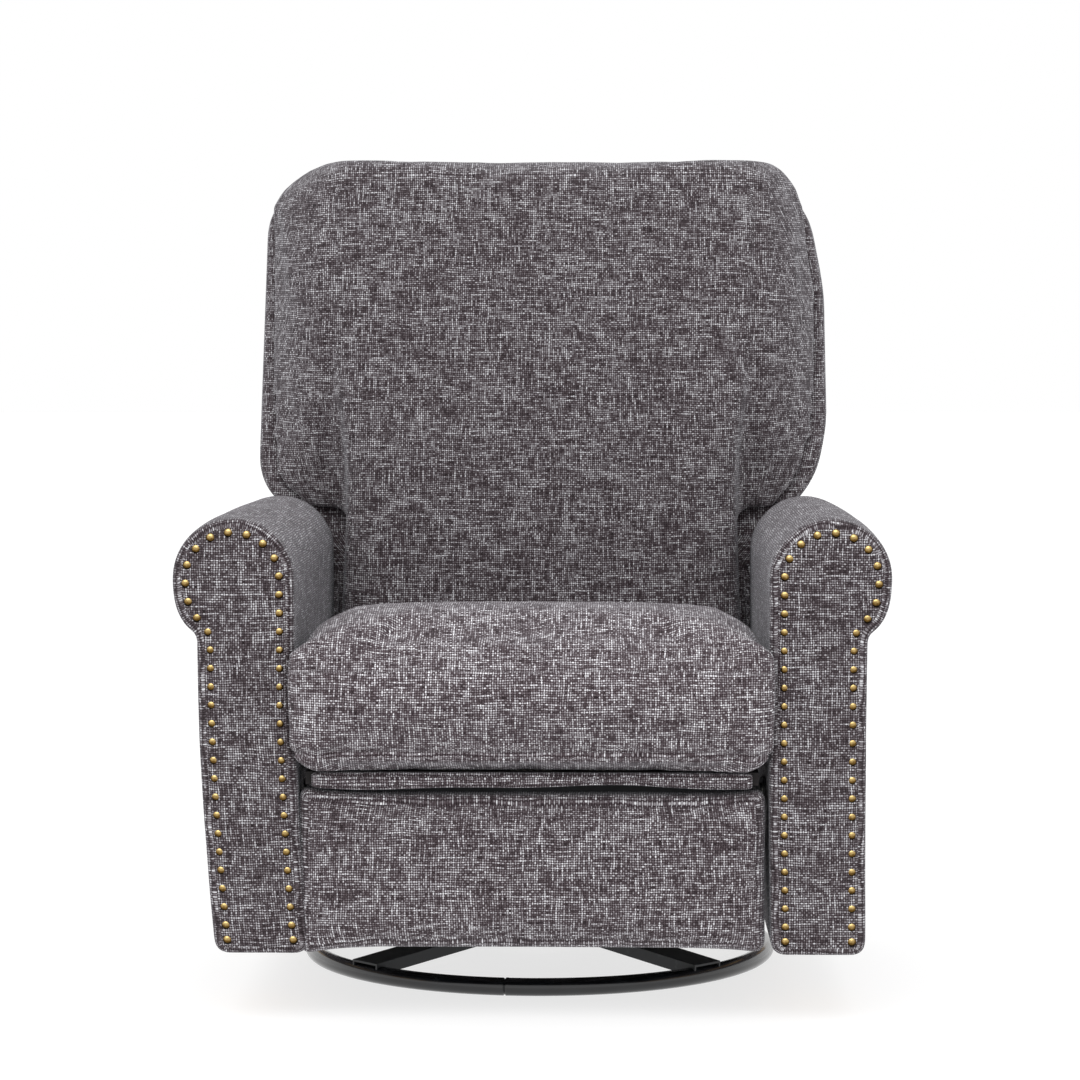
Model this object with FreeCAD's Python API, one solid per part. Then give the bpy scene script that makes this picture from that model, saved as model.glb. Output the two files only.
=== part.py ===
import FreeCAD, Part
import math
import os

# A swivel glider recliner. Millimetres, +Z up, the chair faces -Y, +X is to the right.
# The origin is on the floor, on the swivel axis, under the middle of the whole chair.
V = FreeCAD.Vector
os.makedirs("parts", exist_ok=True)

# Overall
clear_width = 554.0          # between the two arms
front_plane = -440.0         # front of the arms and of the footrest panel
arm_length = 575.0
arm_bottom = 76.0            # underside of the arms, over the floor

# Ring base
ring_outer_r = 305.0
ring_tube_r = 11.0
ring_sides = 12              # flats that stand in for the round of the tube
ring_joint_angle = 263.0     # where the two ends of the tube meet, from +X
ring_joint_gap = 1.4
ring_joint_depth = 1.5
spider_width = 46.0
spider_wall = 2.5
spider_height = 15.0
spider_rise = 19.0           # hub end of an arm over its ring end
spider_overhang = 7.0        # past the middle of the ring tube
swivel_plate_side = 190.0
swivel_plate_wall = 4.0
swivel_plate_corner = 24.0
race_inner_r = 58.0
race_outer_r = 76.0
race_height = 6.2
pivot_bolt_r = 8.0
bolt_spacing = 134.0         # between the plate's bolts, both ways
bolt_head_r = 7.0
bolt_head_height = 4.0

# Fits
running_gap = 0.05           # radial clearance of a pin in its hole
face_gap = 0.1               # between faces that turn on each other
seat_gap = 0.3               # a soft piece from its neighbour
layer_gap = 1.0              # between neighbouring links

# Steel of the mechanism
plate_wall = 3.0
pin_r = 4.0
link_half_width = 8.0

# Glide suspension
glide_pivot_y = 60.0
glide_upper_z = 177.0
glide_link_length = 85.0
glide_link_half_width = 9.0
beam_width = 36.0
beam_height = 30.0
beam_wall = 2.5

# Seat and back
seat_link_length = 62.0
seat_link_start = 20.0       # degrees that the seat links lean back, chair upright
seat_link_z = 208.0
seat_front_link_y = -110.0
seat_rear_link_y = 40.0
back_pivot_y = 100.0
back_pivot_z = 282.0
back_crank = 36.0            # from the back's pivot to its control pivot
back_crank_angle = 300.0
back_control_y = 87.5
back_control_z = 206.5
seat_bottom = 293.0          # underside of the seat cushion
seat_half_width = 262.0
seat_frame_height = 15.0
seat_rail_width = 40.0
webbing_wall = 1.7
webbing_width = 50.0
seat_front = -475.0          # front of the rolled seat edge
seat_top = 470.0             # crown of the seat cushion
seat_edge_top = 446.0        # top of the rolled front edge
seat_ear_half_width = 287.0  # the front roll reaches past the arms' inner faces
back_bottom = 300.0
back_bottom_front = -2.0
back_lean = 17.0             # degrees of the front of the back
back_top = 1041.0
back_rear = 475.0
back_half_width = 393.0
wing_bottom = 592.0
arm_clearance = 7.0          # from the rear end of the arms to the wings
split_bottom_y = 70.0        # the plane between the back cushion and the shell behind it
split_top_y = 327.0
split_top_z = 1000.0

# Footrest
panel_half_width = 274.0
panel_top = 270.0
panel_wall = 60.0            # pad and board together
board_wall = 15.0
thigh_pivot_y = -352.0
thigh_pivot_z = 262.0
thigh_length = 200.0
thigh_start = 322.0          # degrees, from the thigh's pivot to its knee
thigh_reach = 38.0           # past the knee, to the control link
pair_spacing = 60.0          # between the front and the rear thigh
shank_angle = 161.0
shank_length = 164.6
control_radius = 52.0        # from the ankle to the control link's end
control_end_angle = 292.0

# Nailheads
nail_r = 5.2
nail_crown_r = 3.0
nail_height = 3.2
nail_sides = 8
nail_inset = 17.0            # from the edge of the arm's front
nail_pitch = 21.5

# Worked out from the values above
arm_inner = clear_width / 2
arm_back = front_plane + arm_length
layer_pitch = plate_wall + layer_gap


def layer(number):
    """Inner and outer X of a layer of plates. Layer 0 lies on the arm's inner face."""
    outer = arm_inner - number * layer_pitch
    return outer - plate_wall, outer


def polar(point, angle, length):
    """The (y, z) point at an angle and a distance from another."""
    turn = math.radians(angle)
    return point[0] + length * math.cos(turn), point[1] + length * math.sin(turn)


glide_front_upper = (-glide_pivot_y, glide_upper_z)
glide_rear_upper = (glide_pivot_y, glide_upper_z)
glide_front_lower = (-glide_pivot_y, glide_upper_z - glide_link_length)
glide_rear_lower = (glide_pivot_y, glide_upper_z - glide_link_length)
seat_front_lower = (seat_front_link_y, seat_link_z)
seat_rear_lower = (seat_rear_link_y, seat_link_z)
seat_front_upper = polar(seat_front_lower, 90 - seat_link_start, seat_link_length)
seat_rear_upper = polar(seat_rear_lower, 90 - seat_link_start, seat_link_length)
back_pivot = (back_pivot_y, back_pivot_z)
back_crank_end = polar(back_pivot, back_crank_angle, back_crank)
back_control = (back_control_y, back_control_z)
thigh_front_pivot = (thigh_pivot_y, thigh_pivot_z)
thigh_rear_pivot = polar(thigh_front_pivot, shank_angle + 180, pair_spacing)
knee_front = polar(thigh_front_pivot, thigh_start, thigh_length)
knee_rear = polar(thigh_rear_pivot, thigh_start, thigh_length)
ankle = polar(knee_front, shank_angle, shank_length)
control_start = polar(knee_front, thigh_start, thigh_reach)
control_end = polar(ankle, control_end_angle, control_radius)


def box(x, y, z):
    """A box from three (low, high) pairs."""
    return Part.makeBox(x[1] - x[0], y[1] - y[0], z[1] - z[0], V(x[0], y[0], z[0]))


def rod_x(point, radius, x):
    """A round bar along X about a (y, z) point."""
    return Part.makeCylinder(radius, x[1] - x[0], V(x[0], point[0], point[1]), V(1, 0, 0))


def rod_z(x, y, radius, z):
    """A round bar along Z."""
    return Part.makeCylinder(radius, z[1] - z[0], V(x, y, z[0]), V(0, 0, 1))


def rounded(points, radius):
    """A closed wire through the points, its corners rounded by arcs of one radius."""
    edges = []
    ends = []
    count = len(points)
    for i in range(count):
        corner = points[i]
        before = (points[i - 1] - corner).normalize()
        after = (points[(i + 1) % count] - corner).normalize()
        half = before.getAngle(after) / 2
        run = radius / math.tan(half)
        middle = (before + after).normalize()
        bulge = corner + middle * (radius / math.sin(half) - radius)
        ends.append((corner + before * run, bulge, corner + after * run))
    for i in range(count):
        start, bulge, end = ends[i]
        edges.append(Part.Arc(start, bulge, end).toShape())
        edges.append(Part.LineSegment(end, ends[(i + 1) % count][0]).toShape())
    return Part.Wire(edges)


def plate(points, radius, x, holes=()):
    """A plate in the YZ plane with rounded corners; holes are ((y, z), radius) pairs."""
    wire = rounded([V(x[0], y, z) for y, z in points], radius)
    body = Part.Face(wire).extrude(V(x[1] - x[0], 0, 0))
    for point, hole_r in holes:
        body = body.cut(rod_x(point, hole_r, (x[0] - 1, x[1] + 1)))
    return body


def link(points, half_width, x, holes=()):
    """A flat link with round ends through its pivots, and a hole at some of them."""
    body = rod_x(points[0], half_width, x)
    for start, end in zip(points, points[1:]):
        along = V(0, end[0] - start[0], end[1] - start[1])
        side = V(1, 0, 0).cross(along).normalize() * half_width
        a = V(x[0], start[0], start[1])
        b = V(x[0], end[0], end[1])
        strip = Part.Face(Part.makePolygon([a + side, b + side, b - side, a - side, a + side]))
        body = body.fuse(strip.extrude(V(x[1] - x[0], 0, 0))).fuse(rod_x(end, half_width, x))
    for point in holes:
        body = body.cut(rod_x(point, pin_r + running_gap, (x[0] - 1, x[1] + 1)))
    return body.removeSplitter()


def mirrored(shape):
    """The left-hand copy of a right-hand shape."""
    return shape.mirror(V(0, 0, 0), V(1, 0, 0))


def pair(shape):
    """A right-hand shape with its left-hand copy."""
    return [shape, mirrored(shape)]


def save(name, shapes):
    """Writes one node: a solid, or a group of separate solids."""
    solids = []
    for shape in shapes if isinstance(shapes, list) else [shapes]:
        solids.extend(shape.Solids)
    whole = solids[0] if len(solids) == 1 else Part.makeCompound(solids)
    whole.exportStep("parts/%s.step" % name)


# Ring base

ring_r = ring_outer_r - ring_tube_r
ring_z = ring_tube_r * math.cos(math.pi / ring_sides)
plate_bottom = ring_z + spider_rise + spider_height
plate_top = plate_bottom + swivel_plate_wall
race_top = plate_top + race_height
deck_bottom = race_top + face_gap


def ring_tube(radius):
    """The ring's tube, turned about the swivel axis, with one of its flats underneath."""
    turns = [2 * math.pi * (i + 0.5) / ring_sides for i in range(ring_sides)]
    points = [V(ring_r + radius * math.sin(turn), 0, ring_z - radius * math.cos(turn)) for turn in turns]
    return Part.Face(Part.makePolygon(points + points[:1])).revolve(V(0, 0, 0), V(0, 0, 1), 360)


def base_ring():
    """A bent tube that stands on a flat, with a fine groove in its top where its ends meet."""
    groove = box((ring_r - ring_tube_r, ring_outer_r), (0, ring_joint_gap),
                 (ring_z + ring_tube_r - ring_joint_depth, 2 * ring_tube_r))
    groove.rotate(V(0, 0, 0), V(0, 0, 1), ring_joint_angle)
    return ring_tube(ring_tube_r).cut(groove)


def spider_arm(angle):
    """A pressed channel across the ring that rises to the hub, open underneath."""
    end = ring_r + spider_overhang
    shoulder = swivel_plate_side / 2
    top_end = ring_z + spider_height
    outer = [(-end, ring_z), (-end, top_end), (-shoulder, plate_bottom), (shoulder, plate_bottom),
             (end, top_end), (end, ring_z), (shoulder, plate_bottom - spider_height),
             (-shoulder, plate_bottom - spider_height)]
    half = spider_width / 2
    corners = [V(x, -half, z) for x, z in outer]
    body = Part.Face(Part.makePolygon(corners + corners[:1])).extrude(V(0, spider_width, 0))
    inner = body.copy()
    inner.translate(V(0, 0, -spider_wall))
    room = box((-end, end), (spider_wall - half, half - spider_wall), (-spider_height, plate_bottom))
    body = body.cut(inner.common(room)).cut(ring_tube(ring_tube_r))
    body.rotate(V(0, 0, 0), V(0, 0, 1), angle)
    return body


def cross_arms():
    arms = spider_arm(45).fuse(spider_arm(-45)).removeSplitter()
    arms = arms.cut(rod_z(0, 0, pivot_bolt_r + running_gap, (0, plate_top)))
    inside = [part for part in arms.Solids]
    return max(inside, key=lambda part: part.Volume)


def corner_bolts():
    half = bolt_spacing / 2
    return [(x, y) for x in (-half, half) for y in (-half, half)]


def swivel_plate(bottom):
    """A square plate with rounded corners, a hub hole and four bolt holes."""
    half = swivel_plate_side / 2
    corners = [V(-half, -half, bottom), V(half, -half, bottom), V(half, half, bottom), V(-half, half, bottom)]
    body = Part.Face(rounded(corners, swivel_plate_corner)).extrude(V(0, 0, swivel_plate_wall))
    span = (bottom - 1, bottom + swivel_plate_wall + 1)
    return body.cut(rod_z(0, 0, pivot_bolt_r + running_gap, span))


def bearing_race():
    span = (plate_top, race_top)
    return rod_z(0, 0, race_outer_r, span).cut(rod_z(0, 0, race_inner_r, span))


def hex_z(x, y, radius, z):
    """A hexagonal head or nut along Z."""
    points = [V(x + radius * math.cos(i * math.pi / 3), y + radius * math.sin(i * math.pi / 3), z[0])
              for i in range(6)]
    return Part.Face(Part.makePolygon(points + points[:1])).extrude(V(0, 0, z[1] - z[0]))


def corner_bolt_set(bottom):
    """The heads of the four bolts of a swivel plate, which stand on it."""
    return [hex_z(x, y, bolt_head_r, (bottom, bottom + bolt_head_height)) for x, y in corner_bolts()]


def pivot_bolt():
    """The swivel's bolt: a head over the upper plate and a nut under the spider."""
    upper = deck_bottom + swivel_plate_wall
    nut_top = plate_bottom - spider_wall - face_gap
    body = rod_z(0, 0, pivot_bolt_r, (nut_top, upper))
    body = body.fuse(hex_z(0, 0, 2 * pivot_bolt_r, (upper, upper + bolt_head_height)))
    return body.fuse(hex_z(0, 0, 2 * pivot_bolt_r, (nut_top - 2 * bolt_head_height, nut_top)))


save("base_ring", base_ring())
save("cross_arms", cross_arms())
save("lower_swivel_plate", swivel_plate(plate_bottom))
save("bearing_race", bearing_race())
save("upper_swivel_plate", swivel_plate(deck_bottom))
save("swivel_pivot_bolt", pivot_bolt())
save("deck_bolts", corner_bolt_set(deck_bottom + swivel_plate_wall))

# Swivel deck: two beams on the upper plate and a stand at each end of them

beam_bottom = deck_bottom + swivel_plate_wall
stand_x = layer(2)
stand_half_base = glide_pivot_y + beam_width / 2 + 2
boss_r = 3 * pin_r


def deck_beam(y):
    """A channel across the chair, open underneath, over the bolts of the upper plate."""
    half = beam_width / 2
    reach = (-stand_x[0], stand_x[0])
    body = box(reach, (y - half, y + half), (beam_bottom, beam_bottom + beam_height))
    inner = box(reach, (y - half + beam_wall, y + half - beam_wall),
                (beam_bottom, beam_bottom + beam_height - beam_wall))
    return body.cut(inner)


def glide_stand():
    """A stamped plate with two uprights that the chair hangs from."""
    low = beam_bottom
    waist = beam_bottom + beam_height + 14
    peak = glide_upper_z + boss_r
    foot = stand_half_base
    inner_foot = glide_pivot_y - 2.2 * boss_r
    points = [(-foot, low), (foot, low), (foot, low + beam_height),
              (glide_pivot_y + boss_r, peak), (glide_pivot_y - boss_r, peak),
              (inner_foot, waist), (-inner_foot, waist),
              (-glide_pivot_y + boss_r, peak), (-glide_pivot_y - boss_r, peak), (-foot, low + beam_height)]
    return plate(points, boss_r * 0.8, stand_x)


save("deck_beam_front", deck_beam(-glide_pivot_y))
save("deck_beam_rear", deck_beam(glide_pivot_y))
save("glide_stand_right", glide_stand())
save("glide_stand_left", mirrored(glide_stand()))

link_x = layer(1)


def full_link(start, end, half_width):
    """A link in the layer next to the side plates, with a hole at both ends."""
    return link([start, end], half_width, link_x, [start, end])


# Pivot pins: each stands on its own plate and runs through the link that turns on it

arm_plate_x = layer(0)
bracket_x = layer(3)
control_x = layer(4)
hole_r = pin_r + running_gap


def pins(points, x):
    """Rivet stems along X on both sides of the chair, each on the face of its carrier."""
    stems = []
    for point in points:
        stems += pair(rod_x(point, pin_r, x))
    return stems


def outward(carrier):
    """From a carrier's outer face through the link outside it."""
    return carrier[1], carrier[1] + layer_pitch


def inward(carrier, layers=1):
    """From a carrier's inner face through the links inside it."""
    return carrier[0] - layers * layer_pitch, carrier[0]


save("glide_upper_pins", pins([glide_front_upper, glide_rear_upper], outward(stand_x)))
save("glide_lower_pins", pins([glide_front_lower, glide_rear_lower], inward(arm_plate_x)))
save("glide_front_links", pair(full_link(glide_front_upper, glide_front_lower, glide_link_half_width)))
save("glide_rear_links", pair(full_link(glide_rear_upper, glide_rear_lower, glide_link_half_width)))

# Recliner side plates: stamped steel on the arms' inner faces, which carry every link


def side_plate():
    front_y, front_z = thigh_front_pivot
    low = glide_front_lower[1] - boss_r
    rear = max(glide_rear_lower[0], back_control[0]) + 2 * boss_r
    points = [(front_y - boss_r, front_z - boss_r), (front_y - boss_r, front_z + boss_r),
              (thigh_rear_pivot[0] + boss_r, front_z + boss_r / 2),
              (seat_front_link_y - boss_r, seat_link_z + 1.6 * boss_r),
              (rear, seat_link_z + 1.6 * boss_r), (rear + boss_r / 2, glide_upper_z),
              (glide_pivot_y + 1.5 * boss_r, low), (-glide_pivot_y - 1.5 * boss_r, low),
              (seat_front_link_y - boss_r, seat_link_z - 2 * boss_r),
              (thigh_rear_pivot[0] - boss_r, thigh_rear_pivot[1] - 1.5 * boss_r)]
    window = ((0, (glide_front_lower[1] + seat_link_z) / 2), 2 * boss_r)
    return plate(points, boss_r * 0.8, arm_plate_x, [window])


save("side_plate_right", side_plate())
save("side_plate_left", mirrored(side_plate()))

# Cross tubes that join the two side plates, over and behind the glide stands

tube_size = 24.0
tube_wall = 2.0
tube_mid_y = -28.0
tube_rear_y = 102.0
tube_rear_size = 18.0
tube_rear_z = glide_upper_z + boss_r + 2


def cross_tube(y, z, size):
    reach = arm_plate_x[0]
    body = box((-reach, reach), (y, y + size), (z, z + size))
    wall = tube_wall
    return body.cut(box((-reach, reach), (y + wall, y + size - wall), (z + wall, z + size - wall)))


save("cross_tube_middle", cross_tube(tube_mid_y, seat_link_z - 2, tube_size))
save("cross_tube_rear", cross_tube(tube_rear_y, tube_rear_z, tube_rear_size))

# Seat links, seat side plates and the back's brackets

seat_plate_x = layer(2)
seat_front_end = seat_front_upper[0] - 1.6 * boss_r


def seat_side_plate():
    low = seat_front_upper[1] - 0.8 * boss_r
    rear = back_pivot_y + 1.2 * boss_r
    points = [(seat_front_end, low), (seat_front_end, seat_bottom - 1), (rear, seat_bottom - 1),
              (rear, back_pivot_z - boss_r), (seat_rear_upper[0] + boss_r, low)]
    return plate(points, boss_r * 0.4, seat_plate_x, [(back_pivot, hole_r)])


def back_bracket():
    """A plate from the back's frame down to its pivot and on to the control link."""
    low = back_crank_end
    top = back_bottom + bracket_rise
    lean = math.tan(math.radians(back_lean))
    front = back_pivot_y - 0.6 * boss_r
    points = [(front, back_pivot_z - boss_r * 0.7), (low[0] - 0.75 * boss_r, low[1] - 0.75 * boss_r),
              (low[0] + 0.45 * boss_r, low[1] - 0.6 * boss_r), (back_pivot_y + 1.1 * boss_r, back_pivot_z),
              (split_bottom_y + lean * bracket_rise + 3.4 * boss_r, top),
              (split_bottom_y + lean * bracket_rise, top), (front - boss_r, back_bottom + boss_r)]
    return plate(points, boss_r * 0.35, bracket_x)


def control_link(start, end):
    """A link with a hole at its start; the stud at its end bears on the bracket beside it."""
    half = 0.8 * link_half_width
    body = link([start, end], half, control_x, [start])
    stud = rod_x(end, pin_r, (control_x[1], bracket_x[0] - seat_gap))
    return body.fuse(stud)


bracket_rise = 120.0

save("seat_front_links", pair(full_link(seat_front_lower, seat_front_upper, link_half_width)))
save("seat_rear_links", pair(full_link(seat_rear_lower, seat_rear_upper, link_half_width)))
save("seat_link_lower_pins", pins([seat_front_lower, seat_rear_lower], inward(arm_plate_x)))
save("seat_link_upper_pins", pins([seat_front_upper, seat_rear_upper], outward(seat_plate_x)))
save("seat_side_plate_right", seat_side_plate())
save("seat_side_plate_left", mirrored(seat_side_plate()))
save("back_bracket_right", back_bracket())
save("back_bracket_left", mirrored(back_bracket()))
save("back_pivot_pins", pins([back_pivot], outward(bracket_x)))
save("back_control_links", pair(control_link(back_control, back_crank_end)))
save("back_control_pins", pins([back_control], inward(arm_plate_x, 4)))

# Footrest: a pair of thigh links, the shank that they carry level, and the ottoman's bracket


def ottoman_bracket():
    """A plate behind the footrest board, with a flange that is screwed to it."""
    board_back = front_plane + panel_wall
    low = min(ankle[1], control_end[1]) - 1.2 * boss_r
    points = [(board_back, low), (board_back, panel_top - 2 * boss_r), (board_back + boss_r, panel_top - 2 * boss_r),
              (ankle[0] + 0.9 * boss_r, ankle[1] + 0.9 * boss_r), (ankle[0] + 0.9 * boss_r, ankle[1] - boss_r),
              (control_end[0] + boss_r, control_end[1] - boss_r * 0.8), (control_end[0], low)]
    web = plate(points, boss_r * 0.4, bracket_x, [(ankle, hole_r)])
    flange = box((bracket_x[0] - 24, bracket_x[0]), (board_back, board_back + plate_wall),
                 (low + boss_r, panel_top - 2.6 * boss_r))
    return web.fuse(flange)


save("thigh_front_links", pair(link([thigh_front_pivot, knee_front, control_start], link_half_width, link_x,
                                    [thigh_front_pivot, knee_front])))
save("thigh_rear_links", pair(full_link(thigh_rear_pivot, knee_rear, link_half_width)))
save("shank_links", pair(link([knee_rear, knee_front, ankle], link_half_width, seat_plate_x)))
save("thigh_pins", pins([thigh_front_pivot, thigh_rear_pivot], inward(arm_plate_x)))
save("knee_pins", pins([knee_front, knee_rear], outward(seat_plate_x)))
save("ankle_pins", pins([ankle], inward(seat_plate_x)))
save("control_pins", pins([control_start], inward(link_x, 3)))
save("footrest_control_links", pair(control_link(control_start, control_end)))
save("ottoman_bracket_right", ottoman_bracket())
save("ottoman_bracket_left", mirrored(ottoman_bracket()))

# Footrest board and its pad, behind the plain front panel

soft_corner = 14.0


def slab(points_low_z, high_z, x, y, radius):
    """A board across the chair with its four outer edges rounded, seen from the front."""
    corners = [V(x[0], y[0], points_low_z), V(x[1], y[0], points_low_z),
               V(x[1], y[0], high_z), V(x[0], y[0], high_z)]
    return Part.Face(rounded(corners, radius)).extrude(V(0, y[1] - y[0], 0))


board_inset = 8.0
pad_back = front_plane + panel_wall - board_wall


def arc(a, b, c):
    return Part.Arc(a, b, c).toShape()


def line(a, b):
    return Part.LineSegment(a, b).toShape()


def pad_section(x, inset, swell):
    """The footrest pad's outline in the YZ plane: flat behind, crowned in front."""
    low = arm_bottom + inset
    high = panel_top - inset
    front = front_plane + swell
    r = soft_corner
    middle = (low + high) / 2
    a = V(x, pad_back, low)
    b = V(x, front + r, low)
    c = V(x, front + 2, low + r)
    d = V(x, front + 2, high - r)
    e = V(x, front + r, high)
    f = V(x, pad_back, high)
    k = r * 0.29
    return Part.Wire([line(a, b), arc(b, V(x, front + k + 1, low + k), c), arc(c, V(x, front, middle), d),
                      arc(d, V(x, front + k + 1, high - k), e), line(e, f), line(f, a)])


def soft_loft(section, stations):
    """A closed soft form through sections across the chair, one for each station."""
    return Part.makeLoft([section(*station) for station in stations], True, True)


def footrest_pad():
    half = panel_half_width
    return soft_loft(pad_section, [(-half, 5, 8), (8 - half, 1, 2), (24 - half, 0, 0), (half - 24, 0, 0),
                                   (half - 8, 1, 2), (half, 5, 8)])


save("footrest_pad", footrest_pad())
save("footrest_board", slab(arm_bottom + board_inset, panel_top - board_inset,
                            (board_inset - panel_half_width, panel_half_width - board_inset),
                            (pad_back, front_plane + panel_wall), board_inset))

# Arms

arm_wall = 116.0             # thickness of an arm at its crease
roll_half_width = 72.0
arm_height = 590.0
roll_centre_z = 520.0
crease_z = 455.0
arm_foot_taper = 6.0
arm_foot_r = 12.0
core_gap = 22.0              # padding between the wooden frame and the cover
core_top = 440.0
rail_height = 62.0


def arm_outline(inset, y):
    """The mushroom outline of an arm's front, inset by a distance, open at the foot."""
    inner = arm_inner + inset
    centre = arm_inner + roll_half_width
    outer = centre + roll_half_width - inset
    crease = arm_inner + arm_wall - inset
    foot = crease - arm_foot_taper
    side = roll_half_width - inset
    dip = roll_centre_z - crease_z - inset * 0.4
    top = V(centre, y, arm_height - inset)
    shoulder_in = V(centre - side * 0.72, y, roll_centre_z + (arm_height - inset - roll_centre_z) * 0.69)
    shoulder_out = V(centre + side * 0.72, y, roll_centre_z + (arm_height - inset - roll_centre_z) * 0.69)
    in_side = V(inner, y, roll_centre_z)
    out_side = V(outer, y, roll_centre_z)
    crease_point = V(crease, y, roll_centre_z - dip)
    under = V(outer - (outer - crease) * 0.3, y, roll_centre_z - dip * 0.66)
    low = arm_bottom + arm_foot_r if inset == 0 else arm_bottom + inset
    return [line(V(inner, y, low), in_side), arc(in_side, shoulder_in, top), arc(top, shoulder_out, out_side),
            arc(out_side, under, crease_point), line(crease_point, V(foot, y, low))]


def arm():
    """The padded arm: its cover with a pocket from below for the wooden frame."""
    edges = arm_outline(0, front_plane)
    start = edges[0].Vertexes[0].Point
    end = edges[-1].Vertexes[-1].Point
    r = arm_foot_r
    k = r * 0.29
    a = V(end.x - r, front_plane, arm_bottom)
    b = V(start.x + r, front_plane, arm_bottom)
    edges += [arc(end, V(end.x - k, front_plane, arm_bottom + k), a), line(a, b),
              arc(b, V(start.x + k, front_plane, arm_bottom + k), start)]
    body = Part.Face(Part.Wire(edges)).extrude(V(0, arm_length, 0))
    return body.cut(box(core_span(0), core_depth(0), (arm_bottom, core_top)))


def core_span(gap):
    return arm_inner + core_gap + gap, arm_inner + arm_wall - arm_foot_taper - core_gap - gap


def core_depth(gap):
    return front_plane + core_gap + gap, arm_back - core_gap - gap


def arm_frame():
    """The arm's wooden frame: rails and posts with two windows between them."""
    body = box(core_span(seat_gap), core_depth(seat_gap), (arm_bottom, core_top - seat_gap))
    depth = core_depth(seat_gap)
    middle = (depth[0] + depth[1]) / 2
    post = rail_height / 2
    low = arm_bottom + rail_height
    high = core_top - rail_height
    for start, end in ((depth[0] + rail_height, middle - post), (middle + post, depth[1] - rail_height)):
        body = body.cut(box((arm_inner, arm_inner + arm_wall), (start, end), (low, high)))
    return body


def nailheads():
    """Nails along the edge of the arm's front, up one side, over the roll and down."""
    path = Part.Wire(arm_outline(nail_inset, front_plane))
    count = int(round(path.Length / nail_pitch)) + 1
    nail = nailhead()
    nails = []
    for point in path.discretize(Number=count):
        copy = nail.copy()
        copy.translate(point)
        nails.append(copy)
    return nails


def nailhead():
    """One nail's head: a low many-sided cap with flat faces, standing out of the arm's front."""
    turns = [2 * math.pi * i / nail_sides for i in range(nail_sides)]
    base = [V(nail_r * math.cos(turn), 0, nail_r * math.sin(turn)) for turn in turns]
    crown = [V(nail_crown_r * math.cos(turn), -nail_height, nail_crown_r * math.sin(turn)) for turn in turns]
    outlines = [base, crown]
    for i in range(nail_sides):
        outlines.append([base[i - 1], base[i], crown[i], crown[i - 1]])
    faces = [Part.Face(Part.makePolygon(outline + outline[:1])) for outline in outlines]
    solid = Part.Solid(Part.Shell(faces))
    if solid.Volume < 0:
        solid.reverse()
    return solid


save("arm_right", arm())
save("arm_left", mirrored(arm()))
save("arm_frame_right", arm_frame())
save("arm_frame_left", mirrored(arm_frame()))
right_nails = nailheads()
save("nailheads_right", right_nails)
save("nailheads_left", [mirrored(nail) for nail in right_nails])

# Rear panel between the arms

rear_panel_front = 125.0
rear_panel_top = 296.0
save("rear_panel", slab(arm_bottom, rear_panel_top, (seat_gap - arm_inner, arm_inner - seat_gap),
                        (rear_panel_front, arm_back), soft_corner / 2))

# Seat: wooden frame, webbing, front strip and cushion

frame_bottom = seat_bottom - webbing_wall - seat_gap - seat_frame_height
frame_front = front_plane + 15.0
frame_rear = 60.0
frame_half = seat_plate_x[0]
strip_half_width = 259.0
strip_wall = 12.0
strip_bottom = panel_top + 3.0


def seat_frame():
    top = frame_bottom + seat_frame_height
    outer = box((-frame_half, frame_half), (frame_front, frame_rear), (frame_bottom, top))
    rail = seat_rail_width
    inner = box((rail - frame_half, frame_half - rail), (frame_front + rail, frame_rear - rail / 2),
                (frame_bottom, top))
    return outer.cut(inner)


def seat_webbing():
    """Flat elastic bands from the front rail to the rear rail, side by side."""
    low = frame_bottom + seat_frame_height
    inner_half = frame_half - seat_rail_width
    count = int(2 * inner_half / (1.6 * webbing_width))
    pitch = 2 * inner_half / count
    bands = []
    for i in range(count):
        x = (i + 0.5) * pitch - inner_half
        bands.append(box((x - webbing_width / 2, x + webbing_width / 2),
                         (frame_front + seat_rail_width / 3, frame_rear - seat_rail_width / 4),
                         (low, low + webbing_wall)))
    return bands


lean_slope = math.tan(math.radians(back_lean))
back_meeting = back_bottom_front - 4.0      # rear of the cushion where the back's foot is


def seat_section(x, inset, sink):
    """The cushion from the front roll's root to the back, crowned along its length."""
    low = seat_bottom + inset * 0.3
    front = front_plane - 1.0
    rear = back_meeting - inset * 0.4
    edge = seat_edge_top - sink
    tail = seat_top - 22 - sink
    crown = seat_top - sink
    rear_low = V(x, rear, low)
    front_low = V(x, front, low)
    front_high = V(x, front, edge)
    rear_high = V(x, rear + (tail - back_bottom) * lean_slope, tail)
    middle = V(x, (front + rear) / 2 + 10, crown)
    return Part.Wire([line(rear_low, front_low), line(front_low, front_high),
                      arc(front_high, middle, rear_high), line(rear_high, rear_low)])


def front_roll_section(x, inset, sink):
    """The rolled front edge of the cushion, drawn in towards its ends."""
    back = front_plane - 1.3
    front = seat_front + inset
    low = seat_bottom + inset * 0.4
    high = seat_edge_top + 4 - sink
    under = 16.0
    roll = 30.0
    a = V(x, back, low)
    b = V(x, front + under, low)
    c = V(x, front, low + under)
    d = V(x, front, high - roll)
    e = V(x, back, high)
    k = 0.3
    return Part.Wire([line(a, b), arc(b, V(x, front + under * k, low + under * k), c), line(c, d),
                      arc(d, V(x, front + roll * k * 0.9, high - roll * k), e), line(e, a)])


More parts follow.
